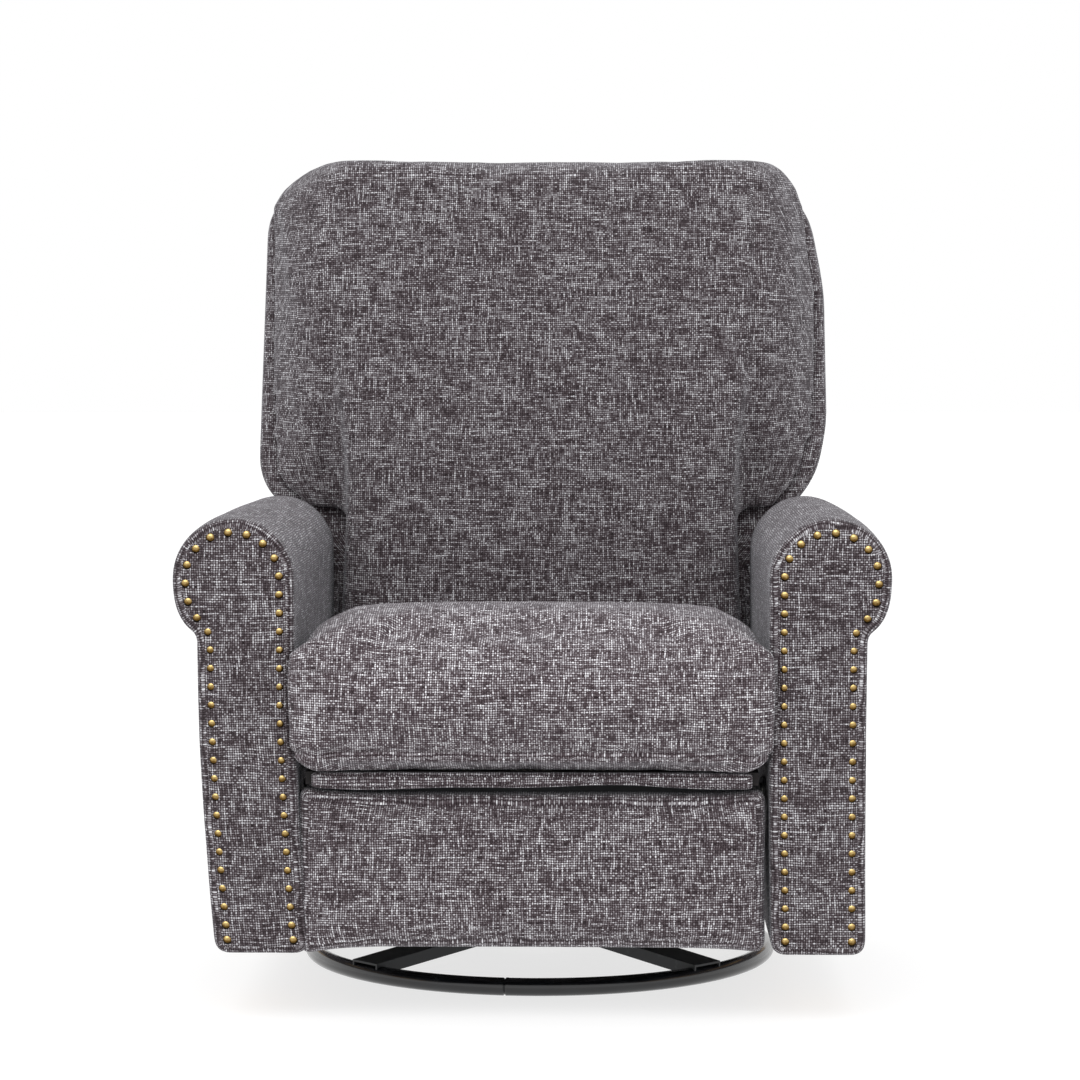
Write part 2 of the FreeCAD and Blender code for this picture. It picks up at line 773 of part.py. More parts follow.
def seat_cushion():
    half = seat_half_width
    body = soft_loft(seat_section, [(-half, 10, 26), (10 - half, 3, 12), (42 - half, 0, 4), (-half / 3, 0, 0),
                                    (half / 3, 0, 0), (half - 42, 0, 4), (half - 10, 3, 12), (half, 10, 26)])
    ear = seat_ear_half_width
    roll = soft_loft(front_roll_section, [(-ear, 16, 34), (10 - ear, 6, 14), (40 - ear, 0, 2), (ear - 40, 0, 2),
                                          (ear - 10, 6, 14), (ear, 16, 34)])
    roll = roll.fuse(box((40 - half, half - 40), (front_plane - 10, front_plane),
                         (seat_bottom + 10, seat_edge_top - 20)))
    return body.fuse(roll)


save("seat_frame", seat_frame())
save("seat_webbing", seat_webbing())
save("seat_front_strip", slab(strip_bottom, seat_bottom - seat_gap - 1, (-strip_half_width, strip_half_width),
                              (frame_front - strip_wall, frame_front), 3.0))
save("seat_cushion", seat_cushion())

# Back: cushion between the arms, two wings over them, and the shell behind with its frame

split_slope = (split_top_y - split_bottom_y) / (split_top_z - back_bottom)


def split_y(z):
    """The plane where the cushions meet the shell, at a height."""
    return split_bottom_y + (z - back_bottom) * split_slope


def front_y(z):
    return back_bottom_front + (z - back_bottom) * lean_slope


def back_pad_section(x, inset, low, lift):
    """A pad's outline in the YZ plane: a swelling front, a round top and a flat back."""
    top = back_top - inset - lift
    shoulder = top - 66
    foot = V(x, front_y(low) + inset, low)
    lumbar = V(x, front_y(seat_top + 10) + inset, seat_top + 10)
    chest = V(x, front_y((seat_top + shoulder) / 2) - 12 + inset * 0.8, (seat_top + shoulder) / 2)
    neck = V(x, front_y(shoulder) + inset, shoulder)
    head = V(x, (front_y(shoulder) + split_y(top - 26)) / 2 + 10, top)
    nape = V(x, split_y(top - 26), top - 26)
    seat = V(x, split_y(low), low)
    return Part.Wire([line(foot, lumbar), arc(lumbar, chest, neck), arc(neck, head, nape),
                      line(nape, seat), line(seat, foot)])


def back_cushion():
    half = seat_half_width
    return soft_loft(back_pad_section, [(-half, 26, back_bottom, 6), (14 - half, 10, back_bottom, 0),
                                        (60 - half, 0, back_bottom, 0), (half - 60, 0, back_bottom, 0),
                                        (half - 14, 10, back_bottom, 0), (half, 26, back_bottom, 6)])


def wing_section(x, inset, lift):
    return back_pad_section_at(x, inset, wing_bottom + lift, lift)


def back_pad_section_at(x, inset, low, lift):
    """A wing's outline: like the pad, but it starts behind the arm."""
    top = back_top - 12 - lift
    shoulder = top - 80
    start = arm_back + arm_clearance + inset
    foot = V(x, start, low)
    neck = V(x, front_y(shoulder) + 16 + inset, shoulder)
    chest = V(x, (foot.y + neck.y) / 2 - 18, (low + shoulder) / 2)
    head = V(x, (neck.y + split_y(top - 26)) / 2 + 6, top - 6)
    nape = V(x, split_y(top - 26), top - 26)
    seat = V(x, split_y(low), low)
    return Part.Wire([arc(foot, chest, neck), arc(neck, head, nape), line(nape, seat), line(seat, foot)])


def back_wing():
    inner = seat_half_width
    outer = back_half_width
    return soft_loft(wing_section, [(inner, 12, 6), (inner + 14, 2, 2), (outer - 36, 2, 6), (outer, 26, 52)])


def shell_section(x, low, lift, inset):
    """The shell behind the cushions, with a round top edge."""
    top = back_top - 18 - lift
    brow = V(x, split_y(top - 20), top - 20)
    rear_low = rear_y(low) - inset
    crest_z = top - 96
    crest = V(x, rear_y(crest_z) - inset, crest_z)
    peak = V(x, (brow.y + crest.y) / 2 + 26, top - 14)
    foot = V(x, rear_low, low)
    seat = V(x, split_y(low), low)
    return Part.Wire([line(seat, brow), arc(brow, peak, crest), line(crest, foot), line(foot, seat)])


def rear_y(z):
    low_y = 118.0
    return low_y + (z - back_bottom) * (back_rear - low_y) / (back_top - 114 - back_bottom)


def back_shell():
    half = seat_half_width
    outer = back_half_width
    lower = soft_loft(lower_shell_section, [(-half,), (half,)])
    upper = soft_loft(shell_section, [(-outer, wing_bottom + 52, 56, 30), (14 - outer, wing_bottom + 24, 26, 12),
                                      (46 - outer, wing_bottom, 6, 2), (-half, wing_bottom, 0, 0),
                                      (half, wing_bottom, 0, 0), (outer - 46, wing_bottom, 6, 2),
                                      (outer - 14, wing_bottom + 24, 26, 12), (outer, wing_bottom + 52, 56, 30)])
    body = lower.fuse(upper)
    return body.cut(back_pocket())


def lower_shell_section(x):
    top = wing_bottom + 60
    return Part.makePolygon([V(x, split_y(back_bottom), back_bottom), V(x, split_y(top), top),
                             V(x, rear_y(top), top), V(x, rear_y(back_bottom), back_bottom),
                             V(x, split_y(back_bottom), back_bottom)])


back_frame_wall = 20.0
back_frame_half = 226.0
back_frame_rail = 44.0
back_frame_low = 24.0
back_frame_high = 640.0


def on_back(shape):
    """Places a shape that is built upright against the split plane of the back."""
    angle = math.degrees(math.atan(split_slope))
    shape.rotate(V(0, 0, 0), V(1, 0, 0), -angle)
    shape.translate(V(0, split_bottom_y, back_bottom))
    return shape


def back_pocket():
    half = back_frame_half + seat_gap
    return on_back(box((-half, half), (-webbing_wall, back_frame_wall + seat_gap),
                       (back_frame_low - seat_gap, back_frame_high + seat_gap)))


def back_frame():
    half = back_frame_half
    rail = back_frame_rail
    outer = box((-half, half), (webbing_wall, back_frame_wall), (back_frame_low, back_frame_high))
    middle = (back_frame_low + back_frame_high) / 2
    for low, high in ((back_frame_low + rail, middle - rail / 2), (middle + rail / 2, back_frame_high - rail)):
        outer = outer.cut(box((rail - half, half - rail), (0, back_frame_wall), (low, high)))
    return on_back(outer)


def back_webbing():
    """Flat bands from side to side across the back's frame."""
    half = back_frame_half - back_frame_rail / 3
    count = int((back_frame_high - back_frame_low) / (2 * webbing_width))
    pitch = (back_frame_high - back_frame_low) / count
    bands = []
    for i in range(count):
        z = back_frame_low + (i + 0.5) * pitch
        bands.append(on_back(box((-half, half), (0, webbing_wall), (z - webbing_width / 2, z + webbing_width / 2))))
    return bands


save("back_cushion", back_cushion())
save("back_wing_right", back_wing())
save("back_wing_left", mirrored(back_wing()))
save("back_shell", back_shell())
save("back_frame", back_frame())
save("back_webbing", back_webbing())
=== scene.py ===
import functools
import math

import bmesh
import bpy
import numpy as np
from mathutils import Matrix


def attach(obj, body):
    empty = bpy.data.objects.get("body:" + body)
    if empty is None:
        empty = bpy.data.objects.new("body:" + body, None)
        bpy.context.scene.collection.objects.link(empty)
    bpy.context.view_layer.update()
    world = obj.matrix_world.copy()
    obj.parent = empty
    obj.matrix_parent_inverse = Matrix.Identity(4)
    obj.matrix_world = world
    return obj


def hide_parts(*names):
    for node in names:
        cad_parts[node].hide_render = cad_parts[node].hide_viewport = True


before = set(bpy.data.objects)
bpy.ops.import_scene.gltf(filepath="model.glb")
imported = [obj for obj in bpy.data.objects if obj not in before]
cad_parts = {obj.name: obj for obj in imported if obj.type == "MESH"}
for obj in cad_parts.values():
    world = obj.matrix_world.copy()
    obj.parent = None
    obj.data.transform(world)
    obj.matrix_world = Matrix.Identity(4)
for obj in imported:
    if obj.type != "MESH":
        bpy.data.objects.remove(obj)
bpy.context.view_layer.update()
print("frame loaded:", len(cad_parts), "nodes")


# Small tools

def linearColour(hexText):
    # sRGB to linear: a share c up to 0.04045 is divided by 12.92, and above it
    # becomes ((c + 0.055) / 1.055) to the power 2.4
    shares = [int(hexText[i:i + 2], 16) / 255 for i in (1, 3, 5)]
    return (*[c / 12.92 if c <= 0.04045 else ((c + 0.055) / 1.055) ** 2.4 for c in shares], 1.0)


def fillNode(node, values=None, links=None):
    # sets a node's sockets; a link comes from a socket or from a node's first one
    for socket, value in (values or {}).items():
        node.inputs[socket].default_value = value
    for socket, source in (links or {}).items():
        first = source.outputs[0] if hasattr(source, "outputs") else source
        node.id_data.links.new(first, node.inputs[socket])


def addNode(tree, kind, values=None, links=None, stops=None, **settings):
    made = tree.nodes.new("ShaderNode" + kind)
    for name, value in settings.items():
        setattr(made, name, value)
    fillNode(made, values, links)
    for i, (place, colour) in enumerate(stops or []):
        while len(made.color_ramp.elements) <= i:
            made.color_ramp.elements.new(1.0)
        made.color_ramp.elements[i].position = place
        made.color_ramp.elements[i].color = linearColour(colour)
    return made


def newMaterial(name):
    # the material, a function that adds a node to it, and its shader
    made = bpy.data.materials.new(name)
    made.use_nodes = True
    made.node_tree.nodes.clear()
    add = functools.partial(addNode, made.node_tree)
    shader = add("BsdfPrincipled")
    add("OutputMaterial", links={"Surface": shader})
    return made, add, shader


def smoothStep(low, high, value):
    # 0 below low, 1 above high, and 3t squared less 2t cubed between them
    t = np.clip((value - low) / (high - low), 0, 1)
    return t * t * (3 - 2 * t)


def quarter(share):
    # how far a quarter circle has fallen away: 1 less the root of (1 - share squared)
    return 1 - np.sqrt(np.maximum(0.0, 1 - share ** 2))


def edgeRound(place, end, radius):
    # 0 up to a radius from the end, then a quarter circle that reaches 1 at the end
    return quarter(np.clip((abs(place) - (end - radius)) / radius, 0, 1))


def pathLengths(path):
    return np.concatenate([[0], np.cumsum(np.linalg.norm(np.diff(path, axis=0), axis=1))])


def evenly(path, count):
    # points at even distances along a path, both ends kept
    run = pathLengths(path)
    at = np.linspace(0, run[-1], count)
    return np.stack([np.interp(at, run, path[:, k]) for k in range(path.shape[1])], 1)


def roundedPath(corners, trims, count):
    # a closed path: each corner is cut back by its trim, bridged by a quadratic curve, then evenly spaced
    corners = np.asarray(corners, float)
    trims = np.asarray(trims, float)[:, None]
    before = np.roll(corners, 1, 0) - corners
    after = np.roll(corners, -1, 0) - corners
    start = corners + before / np.linalg.norm(before, axis=1)[:, None] * trims
    end = corners + after / np.linalg.norm(after, axis=1)[:, None] * trims
    t = np.linspace(0, 1, 9)[None, :, None]
    bend = start[:, None] * (1 - t) ** 2 + 2 * corners[:, None] * t * (1 - t) + end[:, None] * t ** 2
    path = bend.reshape(-1, 2)
    return evenly(np.vstack([path, path[:1]]), count + 1)[:-1]


def inward(ring, distance):
    # a closed ring moved to its left by a distance, square to the line through its neighbours
    along = np.roll(ring, -1, 0) - np.roll(ring, 1, 0)
    along /= np.linalg.norm(along, axis=1)[:, None]
    return ring + np.reshape(distance, (-1, 1)) * np.stack([-along[:, 1], along[:, 0]], 1)


def fourSides(ring, columns, rows):
    # the low, right, high and left side of a ring of 2 (columns + rows) points, each with both its corners
    low = ring[:columns + 1]
    right = ring[columns:columns + rows + 1]
    high = ring[columns + rows:2 * columns + rows + 1][::-1]
    left = np.vstack([ring[2 * columns + rows:], ring[:1]])[::-1]
    return low, right, high, left


def coonsPatch(ring, columns, rows):
    # fills a ring: the two blends of opposite sides, less the blend of the four corners
    low, right, high, left = fourSides(ring, columns, rows)
    u = np.linspace(0, 1, columns + 1)[None, :, None]
    v = np.linspace(0, 1, rows + 1)[:, None, None]
    corners = (1 - u) * (1 - v) * low[0] + u * (1 - v) * low[-1] + (1 - u) * v * high[0] + u * v * high[-1]
    return (1 - v) * low[None] + v * high[None] + (1 - u) * left[:, None] + u * right[:, None] - corners


def placed(name, mesh):
    piece = bpy.data.objects.new(name, mesh)
    bpy.context.scene.collection.objects.link(piece)
    return piece


def stitched(name, grids):
    # one closed piece from grids of points and their cloth coordinates, merged along their shared edges
    points, faces, cloth, first = [], [], [], 0
    for grid, uv in grids:
        rows, columns = grid.shape[:2]
        number = np.arange(rows * columns).reshape(rows, columns) + first
        quads = np.stack([number[:-1, :-1], number[:-1, 1:], number[1:, 1:], number[1:, :-1]], -1)
        points.append(grid.reshape(-1, 3))
        cloth.append(uv.reshape(-1, 2))
        faces.append(quads.reshape(-1, 4))
        first += rows * columns
    mesh = bpy.data.meshes.new(name)
    mesh.from_pydata(np.vstack(points), [], np.vstack(faces))
    layer = mesh.uv_layers.new(name="Weave")
    corners = readFrom(mesh.loops, "vertex_index", kind=np.int32)
    layer.uv.foreach_set("vector", np.vstack(cloth)[corners].astype(np.float32).ravel())
    tidyMesh(mesh)
    return placed(name, mesh)


def tidyMesh(mesh):
    seamWidth = 1e-5            # points closer than this, in metres, are one
    work = bmesh.new()
    work.from_mesh(mesh)
    bmesh.ops.remove_doubles(work, verts=work.verts, dist=seamWidth)
    bmesh.ops.dissolve_degenerate(work, edges=work.edges, dist=seamWidth / 10)
    bmesh.ops.recalc_face_normals(work, faces=work.faces)
    work.to_mesh(mesh)
    work.free()
    mesh.shade_smooth()


def bands(number):
    # the faces between rings of numbered points
    beside = np.roll(number, -1, 1)
    return np.stack([number[:-1], beside[:-1], beside[1:], number[1:]], -1).reshape(-1, 4)


def loft(name, rings):
    # a closed form through rings of equal count, its two ends closed by one face each
    number = np.arange(rings.shape[0] * rings.shape[1]).reshape(rings.shape[:2])
    ends = [number[0].tolist(), number[-1, ::-1].tolist()]
    mesh = bpy.data.meshes.new(name)
    mesh.from_pydata(rings.reshape(-1, 3), [], [*bands(number).tolist(), *ends])
    tidyMesh(mesh)
    return placed(name, mesh)


def sectionLoft(name, half, count, section):
    # a loft of sections across the chair, closer together towards its ends
    stations = half * np.sin(np.linspace(-math.pi / 2, math.pi / 2, count))
    rings = np.array([section(x) for x in stations])
    return loft(name, np.concatenate([np.repeat(stations[:, None, None], rings.shape[1], 1), rings], -1))


def readFrom(things, name, width=1, kind=np.float32):
    found = np.zeros(len(things) * width, kind)
    things.foreach_get(name, found)
    return found.reshape(-1, width) if width > 1 else found


def coordinates(mesh):
    return readFrom(mesh.vertices, "co", 3).astype(float)


def normals(mesh):
    return readFrom(mesh.vertex_normals, "vector", 3).astype(float)


def setCoordinates(piece, points):
    piece.data.vertices.foreach_set("co", points.astype(np.float32).ravel())
    piece.data.update()


def applied(piece):
    # the piece's mesh becomes what its modifiers make of it
    graph = bpy.context.evaluated_depsgraph_get()
    shown = piece.evaluated_get(graph)
    mesh = bpy.data.meshes.new_from_object(shown, preserve_all_data_layers=True, depsgraph=graph)
    piece.modifiers.clear()
    piece.data = mesh
    mesh.shade_smooth()


def subdivided(piece):
    finer = piece.modifiers.new("Finer", "SUBSURF")
    finer.levels = finer.render_levels = 1
    applied(piece)


def joined(piece, *others):
    # one object from several closed forms that reach into each other
    work = bmesh.new()
    for one in (piece, *others):
        work.from_mesh(one.data)
    work.to_mesh(piece.data)
    work.free()
    for one in others:
        bpy.data.objects.remove(one)
    return piece


def remeshed(piece, squares, smoothing):
    made = piece.modifiers.new("Squares", "REMESH")
    made.mode = "VOXEL"
    made.voxel_size = squares
    soft = piece.modifiers.new("Soften", "SMOOTH")
    soft.factor = 0.5
    soft.iterations = smoothing
    applied(piece)


coverCloth = {
    "quality": 4,
    "mass": 0.25,
    "stiffness": 12.0,
    "shearShare": 1 / 3,
    "bending": 0.6,
    "steps": 20,
}


def swollen(piece, pressure, cap):
    # the cover is blown up by even pressure from inside, and no point moves further than the cap
    one = coverCloth
    start = coordinates(piece.data)
    cloth = piece.modifiers.new("Cover", "CLOTH")
    settings = cloth.settings
    settings.quality = one["quality"]
    settings.mass = one["mass"]
    settings.tension_stiffness = one["stiffness"]
    settings.compression_stiffness = one["stiffness"]
    settings.shear_stiffness = one["stiffness"] * one["shearShare"]
    settings.bending_stiffness = one["bending"]
    settings.use_pressure = True
    settings.uniform_pressure_force = pressure
    settings.effector_weights.gravity = 0
    cloth.point_cache.frame_start = 1
    cloth.point_cache.frame_end = one["steps"]
    for step in range(1, one["steps"] + 1):
        bpy.context.scene.frame_set(step)
    applied(piece)
    bpy.context.scene.frame_set(1)
    move = coordinates(piece.data) - start
    length = np.linalg.norm(move, axis=1)[:, None]
    setCoordinates(piece, start + move * np.minimum(1, cap / np.maximum(length, 1e-9)))
    print(piece.name, "swelled by up to", round(float(length.max()) * 1000, 1), "mm")
    subdivided(piece)


def stretched(piece, axis, low, high):
    # the cover draws in while it swells, so it is stretched back to its place along one axis
    points = coordinates(piece.data)
    least, most = points[:, axis].min(), points[:, axis].max()
    points[:, axis] = low + (points[:, axis] - least) * (high - low) / (most - least)
    setCoordinates(piece, points)


def alongPath(points, path):
    # for each point, the distance along a path to the nearest place on it, and the gap to that place
    run = pathLengths(path)
    start, step = path[:-1], np.diff(path, axis=0)
    best = np.full(len(points), 1e9)
    found = np.zeros(len(points))
    for i in range(len(start)):
        t = np.clip(((points - start[i]) @ step[i]) / (step[i] @ step[i]), 0, 1)
        gap = np.linalg.norm(points - start[i] - t[:, None] * step[i], axis=1)
        nearer = gap < best
        best[nearer] = gap[nearer]
        found[nearer] = (run[i] + t * (run[i + 1] - run[i]))[nearer]
    return found, best


def layWeave(piece, across, along, sideways=None):
    # cloth coordinates in metres from values at each vertex, with other values on faces that look sideways
    sidewaysFrom = 0.7          # the least X part of such a face's normal
    mesh = piece.data
    while mesh.uv_layers:
        mesh.uv_layers.remove(mesh.uv_layers[0])
    layer = mesh.uv_layers.new(name="Weave")
    corners = readFrom(mesh.loops, "vertex_index", kind=np.int32)
    uv = np.stack([across, along], 1)[corners]
    if sideways is not None:
        facing = np.abs(readFrom(mesh.polygons, "normal", 3)[:, 0])
        sizes = readFrom(mesh.polygons, "loop_total", kind=np.int32)
        side = np.repeat(facing > sidewaysFrom, sizes)
        uv[side] = np.stack(sideways, 1)[corners][side]
    layer.uv.foreach_set("vector", uv.astype(np.float32).ravel())


def pressed(piece, line, axes, depth, width, chosen):
    # a seam: points near a line, seen along the third axis, sink along their normals
    # by depth times exp(-(gap / width)^2)
    points = coordinates(piece.data)
    gap = alongPath(points[:, axes], np.asarray(line, float))[1]
    sink = depth * np.exp(-(gap / width) ** 2) * chosen(points)
    setCoordinates(piece, points - normals(piece.data) * sink[:, None])


# Materials

tweedCloth = {
    "yarnSpacing": 0.0028,      # metres from yarn to yarn, as wide as the photograph shows them
    "yarns": [(0.0, "#1b1114"), (0.38, "#544a4e"), (0.68, "#a8a5a9"), (1.0, "#e9eaed")],
    "slubLength": 0.020,        # a thick or pale stretch of yarn
    "toneRange": {1: 0.31, 2: 0.68},
    "wander": 0.005,            # how far the yarns stray
    "wanderScale": 22.0,
    "cover": {1: -1.0, 2: 1.0, 3: 0.24, 4: 0.76},   # how far the upper yarn hides the lower one
    "paleLead": 0.75,           # how much a pale yarn comes forward
    "edge": 0.16,
    "patchSize": 0.050,         # cloudy patches of paler and darker yarn
    "patchShare": 0.26,
    "fibreScale": 900.0,
    "fibreShare": 0.45,
    # painted shade: the tone falls towards black where the yarns are low, at their edges and in the holes
    # between them
    "holes": {1: 0.24, 2: 0.66, 3: 0.0, 4: 1.1},
    "fibreLift": 0.3,
    "relief": 0.0009,
}


def heatherTweed(brightness):
    # Chenille tweed, a plain weave of slubby two-tone yarn: thin pale threads both ways on dark heather,
    # painted shade at the yarns' edges and in the holes between them, and a soft grey sheen where it turns
    # away. The brightness value makes a piece darker or paler.
    made, add, shader = newMaterial("heatherTweedWeave")
    one = tweedCloth
    place = add("UVMap", uv_map="Weave")
    drift = add("TexNoise", {"Scale": one["wanderScale"], "Detail": 1.0}, {"Vector": place})
    drift = add("VectorMath", {1: (0.5, 0.5, 0.5)}, {0: drift.outputs["Color"]}, operation="SUBTRACT")
    place = add("VectorMath", {1: (one["wander"], one["wander"], 0.0)},
                {0: drift, 2: place}, operation="MULTIPLY_ADD")
    perMetre = 1 / one["yarnSpacing"]
    yarns = add("VectorMath", {1: (perMetre, perMetre, 0.0)}, {0: place}, operation="MULTIPLY")
    number = add("VectorMath", links={0: yarns}, operation="FLOOR")
    x, y = add("SeparateXYZ", links={0: yarns}).outputs[:2]
    column, row = add("SeparateXYZ", links={0: number}).outputs[:2]
    waves, domes, tones = [], [], []
    slub = one["yarnSpacing"] / one["slubLength"]
    for lane, across, run, step in ((row, y, x, 6.37), (column, x, y, 7.13)):      # weft first, then warp
        turned = add("Math", {1: math.pi}, {0: across}, operation="MULTIPLY")
        wave = add("Math", links={0: turned}, operation="SINE")
        waves.append(wave)
        dome = add("Math", links={0: wave}, operation="ABSOLUTE")
        dome = add("Math", {1: 0.8}, {0: dome}, operation="POWER")
        domes.append(dome)
        lane = add("Math", {1: step}, {0: lane}, operation="MULTIPLY")
        run = add("Math", {1: slub}, {0: run}, operation="MULTIPLY")
        spot = add("CombineXYZ", {2: step}, {0: lane, 1: run})
        noise = add("TexNoise", {"Scale": 1.0, "Detail": 3.0, "Roughness": 0.6, "Lacunarity": 3.0},
                    {"Vector": spot})
        tones.append(add("MapRange", one["toneRange"], {0: noise}))
    over = add("Math", links={0: waves[0], 1: waves[1]}, operation="MULTIPLY")
    over = add("MapRange", one["cover"], {0: over})
    under = add("Math", {0: 1.0}, {1: over}, operation="SUBTRACT")
    weft = add("Math", links={0: over, 1: domes[0]}, operation="MULTIPLY")
    warp = add("Math", links={0: under, 1: domes[1]}, operation="MULTIPLY")
    lead = add("Math", links={0: weft, 1: warp}, operation="SUBTRACT")
    paler = add("Math", links={0: tones[0], 1: tones[1]}, operation="SUBTRACT")
    lead = add("Math", {1: one["paleLead"]}, {0: paler, 2: lead}, operation="MULTIPLY_ADD")
    shown = add("MapRange", {1: -one["edge"], 2: one["edge"]}, {0: lead})
    tone = add("Mix", links={0: shown, 2: tones[1], 3: tones[0]})
    height = add("Math", links={0: weft, 1: warp}, operation="MAXIMUM")
    patch = add("TexNoise", {"Scale": 1 / one["patchSize"], "Detail": 3.0, "Roughness": 0.6},
                {"Vector": place})
    fibre = add("TexNoise", {"Scale": one["fibreScale"], "Detail": 2.0}, {"Vector": place})
    for share, source in ((one["patchShare"], patch), (one["fibreShare"], fibre)):
        shift = add("Math", {1: share, 2: -share / 2}, {0: source}, operation="MULTIPLY_ADD")
        tone = add("Math", links={0: tone, 1: shift}, operation="ADD")
    # painted shade at the yarns' edges and in the holes between them
    hole = add("MapRange", one["holes"], {0: height})
    tone = add("Math", links={0: tone, 1: hole}, operation="MULTIPLY")
    colour = add("ValToRGB", links={0: tone}, stops=one["yarns"])
    # each piece's copy has its colour value scaled by the given brightness
    colour = add("HueSaturation", {"Value": brightness}, {"Color": colour})
    lift = add("Math", {1: one["fibreLift"]}, {0: fibre, 2: height}, operation="MULTIPLY_ADD")
    bump = add("Bump", {"Strength": 0.5, "Distance": one["relief"]}, {"Height": lift})
    fillNode(shader, {"Roughness": 0.9, "Specular IOR Level": 0.2, "Sheen Weight": 0.28,
                      "Sheen Roughness": 0.5, "Sheen Tint": linearColour("#c9ccd2")},
             {"Base Color": colour, "Normal": bump})
    return made


def antiqueBrass():
    # Stamped brass nail, tumbled and darkened: warm worn crown and brown patina at its rim, with painted
    # light on it: paler on top up to a painted highlight, darker underneath and at its sunk foot as painted
    # shade.
    made, add, shader = newMaterial("antiqueBrassNail")
    crown = add("Attribute", attribute_name="crown").outputs["Fac"]
    facing = add("NewGeometry").outputs["Normal"]
    # the normal's upward share is painted light: each dome paler on top and darker underneath
    upward = add("SeparateXYZ", links={0: facing}).outputs[2]
    place = add("TexCoord").outputs["Object"]
    stain = add("TexNoise", {"Scale": 350.0, "Detail": 3.0}, {"Vector": place})
    wornAndLit = add("Math", {1: 0.4, 2: -0.02}, {0: stain}, operation="MULTIPLY_ADD")
    # the wear follows the crown share, which also paints the sunk foot ring dark as contact shade, and the
    # upward share adds painted light
    for share, source in ((0.45, crown), (0.6, upward)):
        wornAndLit = add("Math", {1: share}, {0: source, 2: wornAndLit}, operation="MULTIPLY_ADD")
    # the palest stop is a painted highlight, the darkest a painted shade
    colour = add("ValToRGB", links={0: wornAndLit},
                 stops=[(0.25, "#0f0a05"), (0.55, "#6a5026"), (0.85, "#d8bc7e")])
    rough = add("MapRange", {1: 0.0, 2: 1.0, 3: 0.5, 4: 0.3}, {0: wornAndLit})
    fillNode(shader, {"Metallic": 1.0}, {"Base Color": colour, "Roughness": rough})
    return made


def plainFinish(name, spots, stops, roughness=None, grain=None, relief=None, values=None):
    # a colour ramp over soft spots, a roughness range over the same spots and a fine grain as relief
    made, add, shader = newMaterial(name)
    place = add("TexCoord").outputs["Object"]
    spots = add("TexNoise", spots, {"Vector": place})
    links = {"Base Color": add("ValToRGB", links={0: spots}, stops=stops)}
    if roughness:
        links["Roughness"] = add("MapRange", roughness, {0: spots})
    if grain:
        height = add("TexNoise", grain, {"Vector": place})
        links["Normal"] = add("Bump", relief, {"Height": height})
    fillNode(shader, values, links)
    return made


def planedPine():
    # Planed softwood rails: straw colour with brown growth lines and fine pores.
    made, add, shader = newMaterial("planedPine")
    place = add("TexCoord").outputs["Object"]
    long = add("Mapping", {"Scale": (1.0, 6.0, 14.0)}, {"Vector": place})
    sway = add("TexNoise", {"Scale": 3.0, "Detail": 2.0}, {"Vector": long})
    bent = add("VectorMath", {1: (0.5, 0.5, 0.5)}, {0: sway.outputs["Color"], 2: long},
               operation="MULTIPLY_ADD")
    rings = add("TexWave", {"Scale": 3.6, "Distortion": 2.0, "Detail": 3.0},
                {"Vector": bent}, bands_direction="Z").outputs["Fac"]
    pores = add("TexNoise", {"Scale": 220.0, "Detail": 3.0}, {"Vector": long})
    mixed = add("Math", {1: 0.35}, {0: pores, 2: rings}, operation="MULTIPLY_ADD")
    colour = add("ValToRGB", links={0: mixed},
                 stops=[(0.1, "#d8b98a"), (0.7, "#cfa672"), (1.0, "#a97d4a")])
    bump = add("Bump", {"Strength": 0.2, "Distance": 0.0004}, {"Height": pores})
    fillNode(shader, {"Roughness": 0.62}, {"Base Color": colour, "Normal": bump})
    return made


def elasticWebbing():
    # Woven elastic webbing: narrow charcoal ribs with paler lines between them.
    made, add, shader = newMaterial("elasticWebbing")
    place = add("TexCoord").outputs["Object"]
    ribs = add("TexWave", {"Scale": 80.0, "Distortion": 0.4}, {"Vector": place},
               bands_direction="DIAGONAL").outputs["Fac"]
    colour = add("ValToRGB", links={0: ribs}, stops=[(0.1, "#1c1b1b"), (0.9, "#47433f")])
    bump = add("Bump", {"Strength": 0.5, "Distance": 0.0006}, {"Height": ribs})
    fillNode(shader, {"Roughness": 0.85}, {"Base Color": colour, "Normal": bump})
    return made


